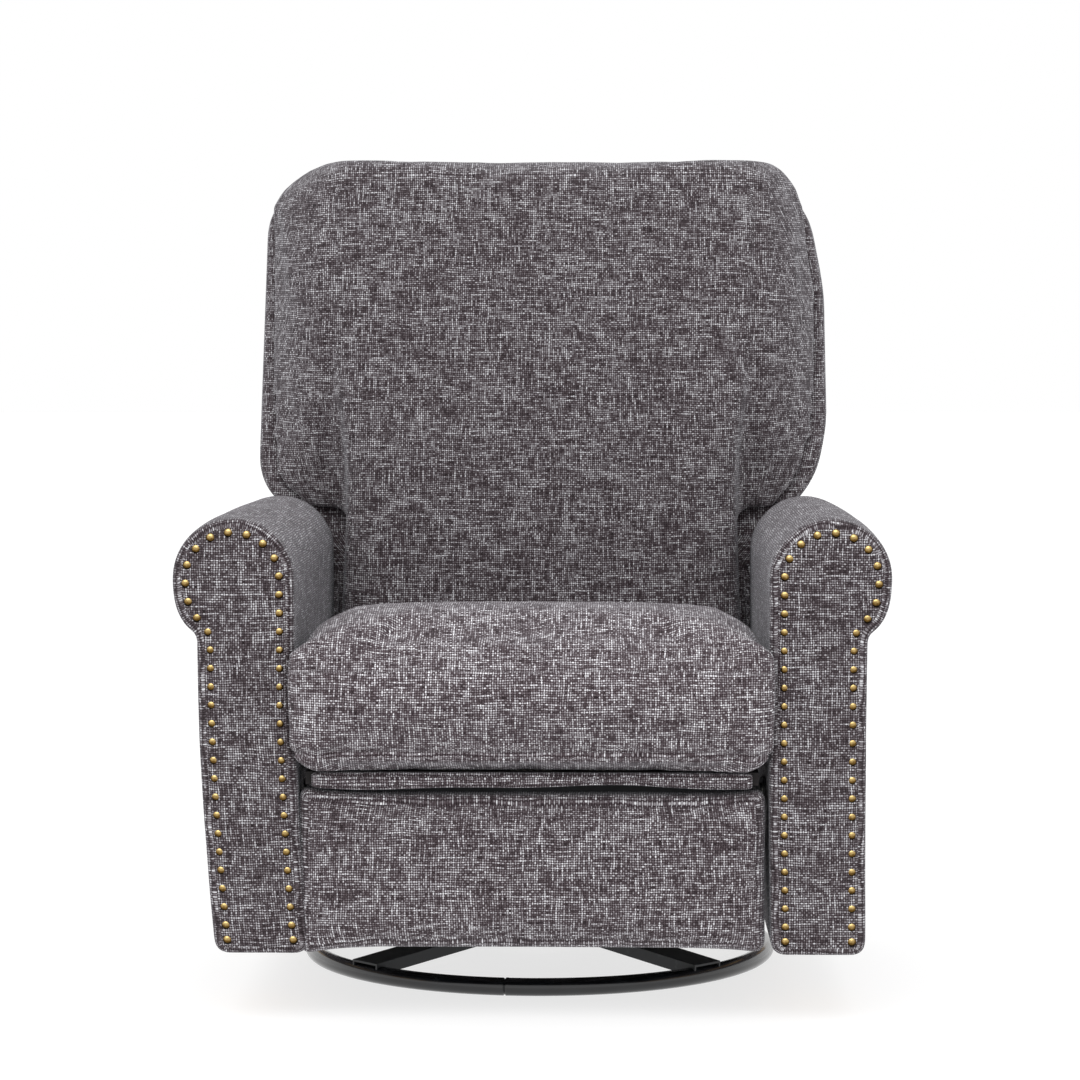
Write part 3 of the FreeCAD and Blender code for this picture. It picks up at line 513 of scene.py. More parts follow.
finishes = {
    "tweed": heatherTweed(1.0),
    "antique_brass": antiqueBrass(),
    # Stoved black enamel on steel tube: near mirror gloss with a faint orange peel.
    "black_enamel": plainFinish(
        "glossBlackEnamel", {"Scale": 30.0, "Detail": 4.0}, [(0.35, "#08090b"), (0.75, "#15171a")],
        {1: 0.3, 2: 0.8, 3: 0.16, 4: 0.3}, {"Scale": 260.0, "Detail": 2.0},
        {"Strength": 0.05, "Distance": 0.0004}, {"Coat Weight": 0.5, "Coat Roughness": 0.08}),
    # Stamped steel with a satin black coat: even dark grey, greyer where it was handled.
    "mechanism_steel": plainFinish(
        "satinBlackCoatedSteel", {"Scale": 45.0, "Detail": 5.0, "Roughness": 0.7},
        [(0.3, "#141517"), (0.62, "#222427"), (0.85, "#4a4b4d")], {1: 0.3, 2: 0.8, 3: 0.42, 4: 0.58},
        {"Scale": 900.0, "Detail": 1.0}, {"Strength": 0.12, "Distance": 0.0003}),
    # Bright zinc plated pins and bolts: pale grey metal with faint warm and cool stains.
    "zinc_steel": plainFinish(
        "zincPlatedSteel", {"Scale": 120.0, "Detail": 3.0},
        [(0.3, "#8f9296"), (0.55, "#b7b6ae"), (0.8, "#c9c4b4")], {1: 0.3, 2: 0.8, 3: 0.3, 4: 0.45},
        values={"Metallic": 1.0}),
    # Moulded natural nylon: milky, slightly waxy.
    "nylon": plainFinish(
        "naturalNylon", {"Scale": 80.0, "Detail": 2.0}, [(0.3, "#d9d4c6"), (0.7, "#ece8dd")],
        values={"Roughness": 0.4, "Subsurface Weight": 0.15, "Subsurface Radius": (0.003, 0.003, 0.002)}),
    "frame_timber": planedPine(),
    "webbing": elasticWebbing(),
    # Rails that a gap may show are painted black-brown as painted shade, so that the eye finds only shade
    # there.
    "painted_shade_timber": plainFinish(
        "paintedShadeBlackTimber", {"Scale": 60.0, "Detail": 3.0}, [(0.3, "#141112"), (0.8, "#2a2424")],
        values={"Roughness": 0.8}),
}
# copies of the weave, darker for the back and the arms and paler for the seat
brightnessCopies = {"back": heatherTweed(0.80), "arm": heatherTweed(0.84), "seat": heatherTweed(1.15)}
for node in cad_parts.values():
    for slot in node.material_slots:
        slot.material = finishes[slot.material.name.split(".")[0]]
# the seat frame and footrest board show in the gap under the seat, so they get the painted shade
for name in ("seat_frame", "footrest_board"):
    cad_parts[name].material_slots[0].material = finishes["painted_shade_timber"]
print("materials ready")


def dressed(piece, slotName, body, *nodes, fill=None, brightness=None):
    # gives a finished piece its material and its body, and hides the nodes it stands for
    piece.data.materials.clear()
    piece.data.materials.append(brightnessCopies[brightness] if brightness else finishes[slotName])
    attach(piece, body)
    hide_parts(*nodes)
    print(piece.name, len(piece.data.polygons), "faces")
    return piece


# Arms

armShape = {
    "inner": 0.2775,            # inner face, metres from the middle
    "roll": 0.072,              # half width of the scroll
    "rollHeight": 0.070,
    "rollCentre": 0.520,
    "shoulder": 8,              # steps of the roll's half ellipse that each side takes in
    "creaseX": 0.3925,
    "creaseZ": 0.453,
    "underBend": 0.052,         # from the roll's centre down to the bend of the curve under it
    "footX": 0.389,
    "foot": 0.0765,
    "corner": 0.014,
    "front": -0.4395,
    "rear": 0.1345,
    "edge": 0.009,              # round of the front and rear edges
    "crown": 0.004,             # swell of the front panel
    "swell": 0.007,             # swell of the outer side and the roll, less the tuck
    "tuck": 0.0015,
    "sideShare": 0.35,          # share of the swell that the flat side has
    "rollFrom": (0.44, 0.50),
    "ripples": ((0.0009, 38, 9, 0), (0.0007, 71, -23, 1)),  # height, then turns around, along and by side
    "leanLeft": 0.016,          # how far the foot of the left arm leans in
    "leanRight": 0.003,
    "leanFrom": 0.38,
    "leanPower": 1.6,
    "columns": 14,
    "rows": 60,
    "depthSteps": 56,
    "clothShift": 3.0,          # keeps the two arms' weaves apart
}


def armRing():
    # the mushroom outline, from the inner foot along the bottom, up the outer side and over the roll:
    # straight sides, a half ellipse over the top, a quadratic curve under the roll, round corners at the foot
    one = armShape
    centre = one["inner"] + one["roll"]
    corner, foot, shoulder = one["corner"], one["foot"], one["shoulder"]
    turn = np.linspace(0, math.pi, 41)
    top = np.stack([centre + one["roll"] * np.cos(turn),
                    one["rollCentre"] + one["rollHeight"] * np.sin(turn)], 1)
    crease = np.array([one["creaseX"], one["creaseZ"]])
    bend = np.array([centre + one["roll"], one["rollCentre"] - one["underBend"]])
    t = np.linspace(0, 1, 16)[:-1, None]
    under = crease * (1 - t) ** 2 + 2 * bend * t * (1 - t) + top[0] * t ** 2
    turn = np.linspace(0, math.pi / 2, 7)
    across, up = corner * np.sin(turn), corner * np.cos(turn)
    footOut = np.stack([one["footX"] - corner + across, foot + corner - up], 1)
    footIn = np.stack([one["inner"] + corner - up, foot + corner - across], 1)
    outside = np.vstack([footOut, evenly(np.array([footOut[-1], crease]), 30)[1:-1], under])
    inside = np.vstack([evenly(np.array([top[-1], footIn[0]]), 30)[1:-1], footIn])
    low = evenly(np.array([footIn[-1], footOut[0]]), one["columns"] + 1)
    right = evenly(np.vstack([footOut[0:1], outside, top[:shoulder + 1]]), one["rows"] + 1)
    high = evenly(top[shoulder:-shoulder], one["columns"] + 1)
    left = evenly(np.vstack([top[-shoulder - 1:], inside]), one["rows"] + 1)
    return np.vstack([low[:-1], right[:-1], high[:-1], left[:-1]])


def armLean(points, side):
    # the lower part leans: x moves by the lean times ((from - z) / (from - foot)) to a power
    one = armShape
    lean = one["leanRight"] if side > 0 else -one["leanLeft"]
    share = (one["leanFrom"] - points[..., 2]) / (one["leanFrom"] - one["foot"])
    return lean * np.clip(share, 0, 1) ** one["leanPower"]


def armPiece(side):
    # the outline carried from front to rear, rounded at both ends and closed by two crowned panels
    one = armShape
    ring = armRing()
    columns, rows, edge = one["columns"], one["rows"], one["edge"]
    front, rear = one["front"], one["rear"]
    turns = np.linspace(0, math.pi / 2, 5)
    insets = [edge * (1 - math.sin(a)) for a in turns]
    fronts = [front + edge * (1 - math.cos(a)) for a in turns]
    middle = np.linspace(front + edge, rear - edge, one["depthSteps"])[1:-1]
    rears = [rear - edge * (1 - math.cos(a)) for a in turns[::-1]]
    depths = np.array([*fronts, *middle, *rears])
    drawn = np.array([*insets, *np.zeros(len(middle)), *insets[::-1]])
    run = pathLengths(np.vstack([ring, ring[:1]]))
    slack = 2 * np.sqrt(np.clip((depths - front) * (rear - depths), 0, None)) / (rear - front)
    fullness = one["sideShare"] + (1 - one["sideShare"]) * smoothStep(*one["rollFrom"], ring[:, 1])
    fullness = fullness * (ring[:, 0] > one["inner"] + 0.004)       # the inner face stays flat
    rings = []
    for depth, inset, puff in zip(depths, drawn, slack):
        wave = sum(high * np.sin(run[:-1] * around + depth * along + side * bySide)
                   for high, around, along, bySide in one["ripples"])
        outward = one["swell"] / 2 * puff - one["tuck"] + wave * puff
        rings.append(inward(ring, inset - outward * fullness))
    rings = np.array(rings)
    closed = np.concatenate([rings, rings[:, :1]], 1)
    level = np.repeat(depths[:, None], closed.shape[1], 1)
    grids = [(np.stack([closed[..., 0], level, closed[..., 1]], -1),
              np.stack([level, np.repeat(run[None], len(depths), 0)], -1))]
    u = np.linspace(-1, 1, columns + 1)[None]
    v = np.linspace(-1, 1, rows + 1)[:, None]
    crown = one["crown"] * (1 - u ** 4) * (1 - v ** 10)
    for outline, depth, out in ((rings[0], front, -1), (rings[-1], rear, 1)):
        patch = coonsPatch(outline, columns, rows)
        grids.append((np.stack([patch[..., 0], depth + out * crown, patch[..., 1]], -1), patch))
    for points, cloth in grids:
        points[..., 0] += armLean(points, side)
        points[..., 0] *= side
        cloth += side * one["clothShift"]
    piece = stitched("armRight" if side > 0 else "armLeft", grids)
    subdivided(piece)
    return piece


for side, name in ((1, "right"), (-1, "left")):
    dressed(armPiece(side), "tweed", "chassis", "arm_" + name, fill=0.9, brightness="arm")


# Nailheads

nailShape = {
    "radius": 0.0053,
    "height": 0.0036,
    # the first ring, wider than the dome and sunk into the cloth, takes the darkest brass colour: a painted
    # contact shadow round each nail
    "profile": ((1.12, -0.2), (1.08, 0.08), (0.98, 0.30), (0.80, 0.68), (0.48, 0.93), (0.0, 1.0)),
    "inset": 0.0175,
    "endShare": 0.8,            # share of the inset that the row's ends keep above the foot
    "spacing": 0.0215,
    "sides": 12,
}


def nailRow(side):
    # domes along the front panel's edge: from the outer foot up, over the roll, and down to the inner foot;
    # each is turned from a profile of shares of its radius and height
    one = nailShape
    arm = armShape
    ring = inward(armRing(), one["inset"])
    path = np.vstack([ring[arm["columns"]:], ring[:1]])
    path = path[path[:, 1] > arm["foot"] + one["inset"] * one["endShare"]]
    path = evenly(path, int(round(pathLengths(path)[-1] / one["spacing"])) + 1)
    shares = np.array(one["profile"])
    radii, heights = shares[:, :1] * one["radius"], shares[:, 1:] * one["height"]
    turn = np.linspace(0, 2 * math.pi, one["sides"], endpoint=False)
    dome = np.stack([radii * np.cos(turn), np.repeat(-heights, one["sides"], 1), radii * np.sin(turn)], -1)
    places = np.stack([path[:, 0], np.full(len(path), arm["front"]), path[:, 1]], 1)
    points = dome.reshape(-1, 3)[None] + places[:, None]
    points[..., 0] += armLean(points, side)
    points[..., 0] *= side
    number = np.arange(dome[..., 0].size).reshape(len(shares), one["sides"])
    firsts = np.arange(len(path)) * number.size
    name = "nailsRight" if side > 0 else "nailsLeft"
    mesh = bpy.data.meshes.new(name)
    mesh.from_pydata(points.reshape(-1, 3), [], (bands(number)[None] + firsts[:, None, None]).reshape(-1, 4))
    # each point's share of the dome's height, which the brass colour follows; the foot ring's negative share
    # paints its shade
    crown = mesh.attributes.new("crown", "FLOAT", "POINT")
    high = np.tile(np.repeat(shares[:, 1], one["sides"]), len(path))
    crown.data.foreach_set("value", high.astype(np.float32))
    tidyMesh(mesh)
    print(name, len(path), "nails")
    return placed(name, mesh)


for side, name in ((1, "right"), (-1, "left")):
    dressed(nailRow(side), "antique_brass", "chassis", "nailheads_" + name)


# Seat cushion

seatShape = {
    "halfWidth": 0.2725,
    "earHalfWidth": 0.285,
    "reach": 0.288,             # half width over the ears once swollen
    "bottom": 0.2965,
    "lowest": 0.2936,
    "front": -0.470,
    "rear": -0.012,
    "edgeTop": 0.452,
    "crownTop": 0.470,
    "crownAt": -0.36,
    "rearTop": 0.432,
    "lean": math.tan(math.radians(17)),
    "rim": 0.030,               # the ends are drawn in over this width, by these shares of it
    "drawLow": 0.35,
    "drawFront": 0.75,
    "drawTop": 0.9,
    "drawRear": 0.3,
    "sag": 0.016,
    "trims": (0.010, 0.030, 0.050, 0.042, 0.05, 0.030),
    "earTrims": (0.006, 0.014, 0.02, 0.020, 0.01, 0.006),
    "earGap": 0.004,            # between the ears and the arms' fronts
    "squares": 0.0065,
    "cap": 0.014,
    "pressure": 3.0,
    "seam": 0.317,
    "seamDepth": 0.005,
    "seamWidth": 0.0042,
}


def seatRing(x, half, rear, ear):
    # one section, drawn in towards the ends: a flat bottom, a full front edge, a crowned top and a leaning
    # rear; an ear, in front of an arm, has a flat top and an upright rear
    one = seatShape
    draw = one["rim"] * edgeRound(x, half, one["rim"])
    down = one["sag"] * (abs(x) / half) ** 4 + draw * one["drawTop"]
    low = one["bottom"] + draw * one["drawLow"]
    front = one["front"] + draw * one["drawFront"]
    edge = one["edgeTop"] - down
    back = rear - draw * one["drawRear"]
    corners = [(back, low), (front, low), (front - 0.002, (low + edge) / 2), (front, edge)]
    if ear:
        return roundedPath([*corners, ((front + back) / 2, edge + 0.002), (back, edge)], one["earTrims"], 120)
    top = one["rearTop"] - down
    corners += [(one["crownAt"], one["crownTop"] - down + 0.004), (back + one["lean"] * (top - low), top)]
    return roundedPath(corners, one["trims"], 120)


def seatCushion():
    one = seatShape
    half, earHalf = one["halfWidth"], one["earHalfWidth"]
    armFront = armShape["front"]
    piece = sectionLoft("seatCushion", half, 41, lambda x: seatRing(x, half, one["rear"], False))
    ears = sectionLoft("ears", earHalf, 41, lambda x: seatRing(x, earHalf, armFront - one["earGap"], True))
    joined(piece, ears)
    remeshed(piece, one["squares"], 6)
    swollen(piece, one["pressure"], one["cap"])
    stretched(piece, 0, -one["reach"], one["reach"])
    points = coordinates(piece.data)
    behind = points[:, 1] > armFront - 0.003
    reach = np.where(behind, armShape["inner"] - 0.002, one["reach"] + 0.0005)
    points[:, 0] = np.clip(points[:, 0], -reach, reach)
    points[:, 2] = np.maximum(points[:, 2], one["lowest"])
    points[:, 1] = np.minimum(points[:, 1], -0.006 + (points[:, 2] - 0.30) * one["lean"])
    setCoordinates(piece, points)
    across = np.linspace(-earHalf, earHalf, 25)
    height = one["seam"] + 0.0012 * np.sin(across * 19) - 0.004 * (across / earHalf) ** 6
    pressed(piece, np.stack([across, height], 1), [0, 2], one["seamDepth"], one["seamWidth"],
            lambda p: p[:, 1] < -0.43)
    path = seatRing(0.0, earHalf, one["rear"], False)
    points = coordinates(piece.data)
    along = alongPath(points[:, 1:], np.vstack([path, path[:1]]))[0]
    layWeave(piece, points[:, 0], along, (points[:, 1], points[:, 2]))
    return piece


dressed(seatCushion(), "tweed", "seat", "seat_cushion", fill=0.75, brightness="seat")


# Back pillow

backShape = {
    "bottom": 0.303,
    "lowest": 0.2985,
    "frontAtBottom": 0.004,
    "lean": math.tan(math.radians(17)),
    "halfLower": 0.2745,
    "halfUpper": 0.384,
    "wingBottom": 0.561,
    "top": 1.053,
    "splitAtBottom": 0.068,     # the sloping plane between the pillow and the shell
    "splitLean": 0.257 / 0.700,
    "flat": 0.280,              # half width of the flat front before it turns back
    "turnDepth": 0.095,
    "cornerRound": 0.066,
    "footRound": 0.088,
    "sideRound": 0.018,
    "belly": 0.012,
    "lobeFrom": 0.262,          # past this half width the lobes stay behind the next depth
    "lobeFront": 0.140,
    "armTop": 0.596,
    "armGap": 0.006,
    "squares": 0.0085,
    "cap": 0.016,
    "pressure": 3.0,
    "creaseDepth": 0.0045,
    "creaseWidth": 0.009,
}


def backFront(z):
    return backShape["frontAtBottom"] + (z - 0.300) * backShape["lean"]


def backSplit(z):
    return backShape["splitAtBottom"] + (z - 0.300) * backShape["splitLean"]


def backRing(x, half, bottom, wide):
    # one section: the front swells a little, the top is round, the rear lies on the sloping shell
    one = backShape
    if wide:
        past = np.clip((abs(x) - one["flat"]) / (half - one["flat"]), 0, 1)
        setBack = one["turnDepth"] * (0.7 * past + 0.3 * quarter(past))
        drop = 0.008 * (x / half) ** 2 + one["cornerRound"] * edgeRound(x, half, one["cornerRound"])
        low = bottom + one["footRound"] * edgeRound(x, half, one["footRound"])
        footTrim = 0.035
    else:
        setBack = one["sideRound"] * edgeRound(x, half, one["sideRound"])
        drop = 0.02 + setBack
        low = bottom
        footTrim = 0.015
    high = one["top"] - drop
    middle = (low + high) / 2
    frontLow = backFront(low) + setBack
    if wide and abs(x) > one["lobeFrom"]:
        frontLow = max(frontLow, one["lobeFront"] + setBack * 0.4)
    rearLow, rearHigh = backSplit(low) - 0.001, backSplit(high) - 0.001
    frontHigh = min(backFront(high) + setBack + 0.004, rearHigh - 0.03)
    corners = [(rearLow, low), (frontLow, low), (backFront(middle) + setBack - one["belly"], middle),
               (frontHigh, high), (rearHigh, high)]
    lowRoom = 0.45 * abs(rearLow - frontLow)
    highRoom = 0.48 * abs(rearHigh - frontHigh)
    trims = [min(0.010, lowRoom), min(footTrim, lowRoom), 0.11, min(0.062, highRoom), min(0.040, highRoom)]
    return roundedPath(corners, trims, 150)


def drawnIn(points):
    # the corners at high x are drawn in towards the middle, top and bottom, and the other top corner a little
    x, z = points[:, 0], points[:, 2]
    left = 0.018 * smoothStep(0.975, 1.04, z) * smoothStep(0.26, 0.33, -x)
    top = 0.019 * smoothStep(0.84, 1.0, z)
    bottom = 0.017 * (1 - smoothStep(0.585, 0.70, z)) * (z > 0.575)
    return (top + bottom) * smoothStep(0.28, 0.37, x) - left


def clearOfArms(points):
    # below the arms' tops the pillow stays between them, and its lobes stay behind them
    one = backShape
    beside = points[:, 2] < one["armTop"]
    behind = armShape["rear"] + one["armGap"]
    inner = armShape["inner"] - 0.0025
    wide = np.abs(points[:, 0])
    pushed = beside & (wide > inner) & (wide < inner + 0.012) & (points[:, 1] < behind)
    points[pushed, 0] = np.sign(points[pushed, 0]) * inner
    outside = beside & (np.abs(points[:, 0]) > inner + 0.001)
    points[outside, 1] = np.maximum(points[outside, 1], behind)


def backPillow():
    one = backShape
    upper, lower = one["halfUpper"], one["halfLower"]
    piece = sectionLoft("backPillow", upper, 61, lambda x: backRing(x, upper, one["wingBottom"], True))
    joined(piece, sectionLoft("lower", lower, 61, lambda x: backRing(x, lower, one["bottom"], False)))
    remeshed(piece, one["squares"], 8)
    swollen(piece, one["pressure"], one["cap"])
    points = coordinates(piece.data)
    points[:, 0] -= drawnIn(points)
    clearOfArms(points)
    points[:, 1] = np.minimum(points[:, 1], backSplit(points[:, 2]))
    points[:, 2] = np.maximum(points[:, 2], one["lowest"])
    setCoordinates(piece, points)
    flat, deep = one["flat"], one["turnDepth"]
    height = np.linspace(0.62, 1.0, 20)
    for edge in (-1, 1):
        crease = np.stack([edge * (flat + 0.004 + 0.004 * np.sin(height * 14 + edge)), height], 1)
        pressed(piece, crease, [0, 2], one["creaseDepth"], one["creaseWidth"],
                lambda p: p[:, 1] < backSplit(p[:, 2]) - 0.02)
    points = coordinates(piece.data)
    away = points[:, 1] - backFront(points[:, 2])
    # the cloth runs sideways from the middle round the wing, and upwards over the top and down the rear
    turn = np.linspace(0, math.pi / 2, 12)
    bend = np.stack([flat + (upper - flat) * np.sin(turn), deep * (1 - np.cos(turn))], 1)
    bend = np.vstack([[0.0, 0.0], bend, [upper, 0.35]])
    side = alongPath(np.stack([np.abs(points[:, 0]), away], 1), bend)[0] * np.sign(points[:, 0])
    over = backRing(0.0, upper, one["wingBottom"], True)
    over = np.roll(over, -int(np.argmin(over[:, 1])), 0)
    over[:, 0] -= backFront(over[:, 1])
    over = over[:int(np.argmax(over[:, 1])) + 1]
    over = np.vstack([[0.0, 0.25], over[over[:, 1] > 0.8], over[-1] + [0.4, 0.0]])
    up = alongPath(np.stack([away, points[:, 2]], 1), over)[0]
    layWeave(piece, side + 7.0, up, (points[:, 1] + 5.0, points[:, 2]))
    return piece


dressed(backPillow(), "tweed", "back", "back_cushion", "back_wing_right", "back_wing_left", fill=0.7,
        brightness="back")


# Back shell

shellShape = {
    "halfLower": 0.2735,
    "halfUpper": 0.385,
    "step": 0.566,
    "stepRound": (0.065, 0.075),    # width and height of the curve out over the step
    "bottom": 0.301,
    "top": 1.018,
    "topRound": (0.078, 0.080),
    "rearAtBottom": 0.118,
    "rearLean": 0.357 / 0.627,
    "rearMost": 0.474,
    "topDraw": 0.030,
    "edge": 0.022,
    "crown": 0.006,
    "columns": 44,
    "spread": 0.13,             # how much wider the lower part is behind the arms
    "clothShift": 11.0,
}


def shellHalf(z):
    # half width at a height: the lower width, a quarter curve out over the step, then round top corners
    one = shellShape
    out = np.clip((z - one["step"]) / one["stepRound"][1], 0, 1)
    half = one["halfUpper"] - one["stepRound"][0] * quarter(1 - out)
    blend = smoothStep(one["step"] - 0.004, one["step"] + 0.004, z)
    half = one["halfLower"] * (1 - blend) + half * blend
    return half - one["topRound"][0] * edgeRound(z, one["top"], one["topRound"][1])


def shellRear(z):
    one = shellShape
    straight = one["rearAtBottom"] + (z - 0.300) * one["rearLean"]
    return np.minimum(straight, one["rearMost"]) - one["topDraw"] * smoothStep(0.90, 1.02, z) ** 2


def backShell():
    # the outline carried from the sloping plane to the rear, rounded there, and closed by two panels
    one = shellShape
    step, top, edge = one["step"], one["top"], one["edge"]
    z = np.concatenate([np.linspace(one["bottom"], step - 0.006, 28),
                        np.linspace(step - 0.004, step + 0.06, 16),
                        np.linspace(step + 0.07, top - 0.06, 26),
                        top - 0.06 * (1 - np.sin(np.linspace(0.1, math.pi / 2, 10)))])
    columns, rows = one["columns"], len(z) - 1
    u = np.linspace(-1, 1, columns + 1)[None]
    face = np.stack([u * shellHalf(z)[:, None], np.repeat(z[:, None], columns + 1, 1)], -1)
    ring = np.vstack([face[0, :-1], face[:-1, -1], face[-1, :0:-1], face[:0:-1, 0]])
    run = pathLengths(np.vstack([ring, ring[:1]]))
    layers = []
    for share in (0.0, 0.3, 0.6, 0.85):
        y = backSplit(ring[:, 1]) * (1 - share) + (shellRear(ring[:, 1]) - edge) * share
        layers.append(np.stack([ring[:, 0], y, ring[:, 1]], 1))
    for a in np.linspace(0, math.pi / 2, 6):
        moved = inward(ring, edge * (1 - math.cos(a)))
        y = shellRear(moved[:, 1]) - edge + edge * math.sin(a)
        layers.append(np.stack([moved[:, 0], np.maximum(y, backSplit(moved[:, 1]) + 0.004), moved[:, 1]], 1))
    layers = np.array(layers)
    wall = np.concatenate([layers, layers[:, :1]], 1)
    grids = [(wall, np.stack([np.repeat(run[None], len(layers), 0), wall[..., 1]], -1))]
    t = (u[..., None] + 1) / 2
    swell = (1 - u ** 6) * np.sin(np.linspace(0, math.pi, len(z)))[:, None] ** 0.5
    for outline, out in ((layers[0], 0.0), (layers[-1], one["crown"])):
        low, right, high, left = fourSides(outline, columns, rows)
        fill = left[:, None] * (1 - t) + right[:, None] * t
        fill[0], fill[-1] = low, high
        fill[..., 1] = np.interp(fill[..., 2], right[:, 2], right[:, 1]) + out * swell
        grids.append((fill, np.stack([fill[..., 0], fill[..., 2] * 1.1], -1)))
    for _, cloth in grids:
        cloth += one["clothShift"]
    piece = stitched("backShell", grids)
    subdivided(piece)
    points = coordinates(piece.data)
    behindArms = smoothStep(armShape["rear"] + 0.004, armShape["rear"] + 0.022, points[:, 1])
    lower = smoothStep(0.34, 0.40, points[:, 2]) * (1 - smoothStep(0.58, 0.61, points[:, 2]))
    inside = 1 - smoothStep(0.285, 0.31, np.abs(points[:, 0]))
    points[:, 0] *= 1 + one["spread"] * behindArms * lower * inside
    points[:, 0] -= drawnIn(points)
    setCoordinates(piece, points)
    return piece


dressed(backShell(), "tweed", "back", "back_shell", fill=0.8, brightness="back")


# Padded panels: the footrest, the strip above it and the panel behind

panelSquare = 0.008
panelShapes = {
    "footrestPad": {"x": (-0.2735, 0.2735), "z": (0.0765, 0.2712), "y": (-0.4345, -0.3955), "corner": 0.012,
                    "edge": 0.014, "crown": 0.004, "body": "ottoman", "node": "footrest_pad", "fill": 0.7,
                    "pressure": 2.5, "cap": 0.008, "reach": 0.2742, "yLimits": (-0.4455, -0.3952)},
    "rearPanel": {"x": (-0.2763, 0.2763), "z": (0.0765, 0.2955), "y": (0.1255, 0.1345), "corner": 0.007,
                  "edge": 0.004, "crown": -0.0015, "body": "chassis", "node": "rear_panel", "fill": 0.9},
    "seatStrip": {"x": (-0.2585, 0.2585), "z": (0.2735, 0.2912), "y": (-0.4368, -0.4252), "corner": 0.003,
                  "edge": 0.005, "crown": 0.0008, "body": "seat", "node": "seat_front_strip", "fill": 0.5},
}


def paddedPanel(name):
    # a slab with round edges, its front crowned by (1 - u^4)(1 - v^4)
    one = panelShapes[name]
    (left, right), (low, high), (front, rear) = one["x"], one["z"], one["y"]
    columns = int((right - left) / panelSquare)
    rows = max(6, int((high - low) / panelSquare))
    corners = [(left, low), (right, low), (right, high), (left, high)]
    dense = roundedPath(corners, [one["corner"]] * 4, 4000)
    marks = [int(np.argmin(np.linalg.norm(dense - np.array(c), axis=1))) for c in corners]
    dense = np.roll(dense, -marks[0], 0)
    marks = [(m - marks[0]) % len(dense) for m in marks] + [len(dense)]
    dense = np.vstack([dense, dense[:1]])
    ring = np.vstack([evenly(dense[marks[i]:marks[i + 1] + 1], (columns, rows)[i % 2] + 1)[:-1]
                      for i in range(4)])
    edge = one["edge"]
    turns = np.linspace(0, math.pi / 2, 5)
    depths = [front + edge * (1 - math.cos(a)) for a in turns]
    insets = [edge * (1 - math.sin(a)) for a in turns]
    steps = max(2, int((rear - front - 1.3 * edge) / panelSquare))
    for share in np.linspace(0, 1, steps + 1)[1:]:
        depths.append(front + edge + (rear - front - edge * 1.25) * share)
        insets.append(0.0)
    depths.append(rear)
    insets.append(edge * 0.3)
    layers = np.array([inward(ring, d) for d in insets])
    run = pathLengths(np.vstack([ring, ring[:1]]))
    closed = np.concatenate([layers, layers[:, :1]], 1)
    depth = np.array(depths)[:, None].repeat(closed.shape[1], 1)
    grids = [(np.stack([closed[..., 0], depth, closed[..., 1]], -1),
              np.stack([run[None].repeat(len(depths), 0), depth], -1))]
    u = np.linspace(-1, 1, columns + 1)[None]
    v = np.linspace(-1, 1, rows + 1)[:, None]
    crown = one["crown"] * (1 - u ** 4) * (1 - v ** 4)
    for outline, y in ((layers[0], front - crown), (layers[-1], np.full_like(crown, rear))):
        patch = coonsPatch(outline, columns, rows)
        grids.append((np.stack([patch[..., 0], y, patch[..., 1]], -1), patch))
    for _, cloth in grids:
        cloth += 17.0 + len(name)
    return stitched(name, grids)


for name, one in panelShapes.items():
    piece = paddedPanel(name)
    if name == "footrestPad":
        swollen(piece, one["pressure"], one["cap"])
        stretched(piece, 0, -one["reach"], one["reach"])
        stretched(piece, 2, *one["z"])
    else:
        subdivided(piece)
    points = coordinates(piece.data)
    if name == "footrestPad":
        points[:, 0] = np.clip(points[:, 0], -0.2745, 0.2745)
        points[:, 1] = np.clip(points[:, 1], *one["yLimits"])
    if name == "seatStrip":
        hang = 1 - smoothStep(0.276, 0.288, points[:, 2])
        points[:, 2] += hang * (0.0022 * np.sin(points[:, 0] * 13 + 0.6) - 0.0012 * np.cos(points[:, 0] * 31))
    setCoordinates(piece, points)
    dressed(piece, "tweed", one["body"], one["node"], fill=one["fill"])


# Ring base

ringShape = {
    "centre": 0.294,
    "tube": 0.011,
    "height": 0.0106,
    "joint": math.radians(263),     # where the ends of the tube meet
    "groove": 0.0016,
}


def ringTube():
    # a tube bent into a ring: a circle carried round the axis, narrowed at its joint by depth times
    # exp(-(distance / width)^2), with one end a little proud of the other
    one = ringShape
    near = one["joint"] + np.linspace(-0.03, 0.03, 41)
    far = np.linspace(one["joint"] + 0.03, one["joint"] + 2 * math.pi - 0.03, 241)[1:-1]
    turn = np.concatenate([near, far])
    gap = np.abs((turn - one["joint"] + math.pi) % (2 * math.pi) - math.pi) * one["centre"]
    tube = one["tube"] - one["groove"] * np.exp(-(gap / 0.0011) ** 2)
    past = (turn - one["joint"] + math.pi) % (2 * math.pi) > math.pi
    tube = np.where(past & (gap < 0.004), tube + 0.0003, tube)
    around = np.linspace(0, 2 * math.pi, 25)
    radius = one["centre"] + tube[:, None] * np.cos(around)[None]
    points = np.stack([radius * np.cos(turn)[:, None], radius * np.sin(turn)[:, None],
                       np.maximum(one["height"] + tube[:, None] * np.sin(around)[None], 0.0)], -1)
    points = np.concatenate([points, points[:1]], 0)
    return stitched("ringTube", [(points, points[..., :2].copy())])


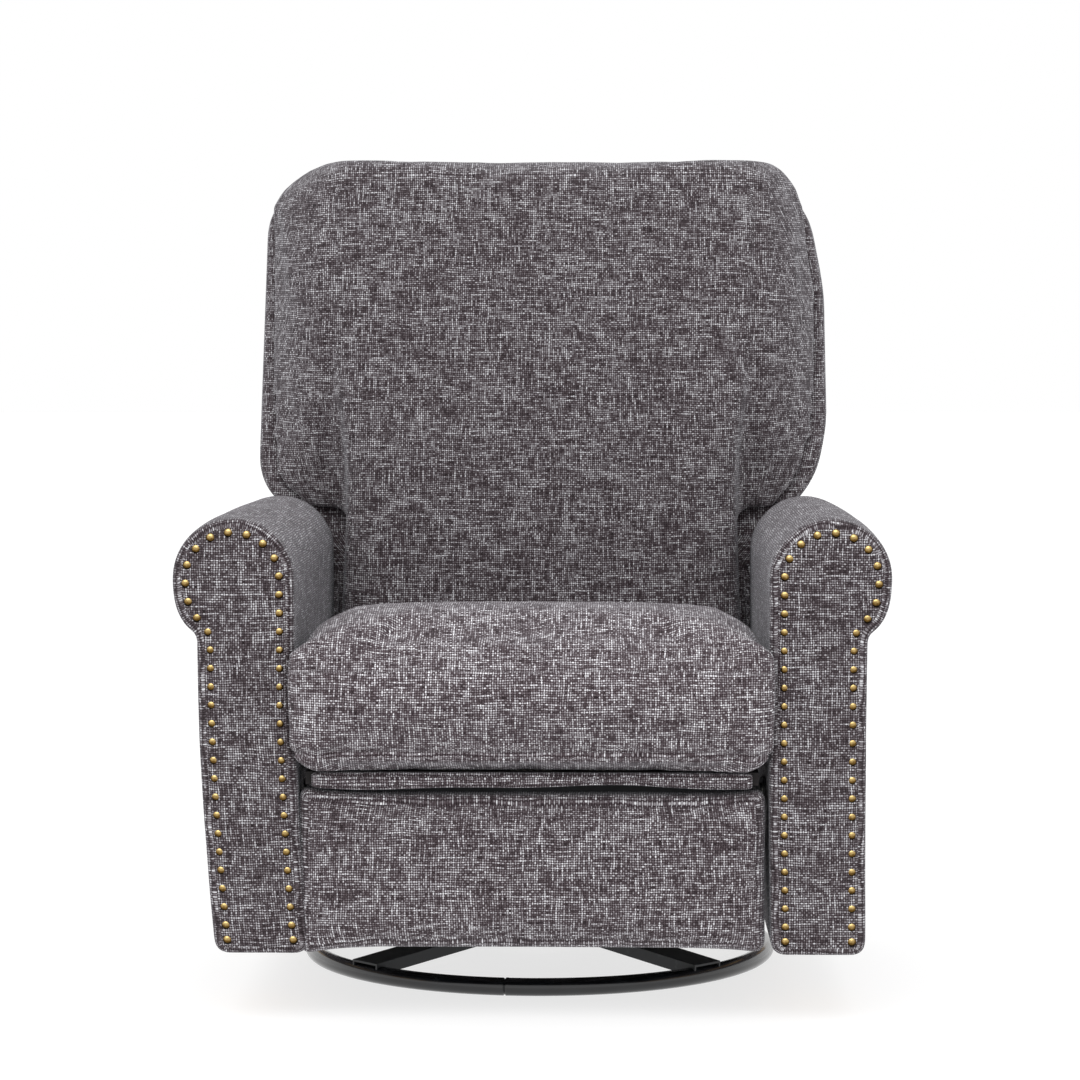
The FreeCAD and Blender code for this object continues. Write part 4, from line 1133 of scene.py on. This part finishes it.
dressed(ringTube(), "black_enamel", "base", "base_ring")


# Floor, lights and camera

studio = {
    "floorColour": "#8c8c8c",
    "floorGlow": 0.74,          # keeps the shade under the chair as pale as the photograph's
    "camera": (0.0943, -4.3298, 0.8029),
    "cameraDown": 3.501,        # degrees
    "cameraLeft": 1.242,
    "focal": 3349.0,            # pixels of the photograph
    "frame": 1080.0,
    "sky": 1.0,
    "sun": 1.5,
}


def studioFloor():
    # a wide plain sheet, so that its edge is never in view
    half = 30.0
    mesh = bpy.data.meshes.new("floor")
    corners = [(-half, -half, 0), (half, -half, 0), (half, half, 0), (-half, half, 0)]
    mesh.from_pydata(corners, [], [(0, 1, 2, 3)])
    floor = placed("floor", mesh)
    made, add, shader = newMaterial("paleFloor")
    fillNode(shader, {"Base Color": linearColour(studio["floorColour"]), "Roughness": 0.85,
                            "Specular IOR Level": 0.1, "Emission Color": (1.0, 1.0, 1.0, 1.0),
                            "Emission Strength": studio["floorGlow"]})
    mesh.materials.append(made)


def softSun(name, place, angle, strength):
    # one broad light from far off, aimed from its place at the middle of the floor
    lamp = bpy.data.lights.new(name, "SUN")
    lamp.angle = math.radians(angle)
    lamp.energy = strength
    made = placed(name, lamp)
    made.location = place
    flat = math.hypot(place[0], place[1])
    made.rotation_euler = (math.atan2(flat, place[2]), 0, math.atan2(-place[1], -place[0]) - math.pi / 2)


studioFloor()
softSun("overhead", (-0.5, -1.5, 4.0), 60, studio["sun"])
world = bpy.data.worlds.new("studio")
world.use_nodes = True
fillNode(world.node_tree.nodes["Background"], {"Color": (1.0, 1.0, 1.0, 1.0), "Strength": studio["sky"]})
bpy.context.scene.world = world
bpy.context.scene.view_settings.view_transform = "Standard"

lens = bpy.data.cameras.new("camera")
lens.sensor_width = 36.0
lens.lens = studio["focal"] / studio["frame"] * lens.sensor_width
camera = placed("camera", lens)
camera.location = studio["camera"]
camera.rotation_euler = (math.radians(90 - studio["cameraDown"]), 0, math.radians(studio["cameraLeft"]))
bpy.context.scene.camera = camera
print("studio ready")
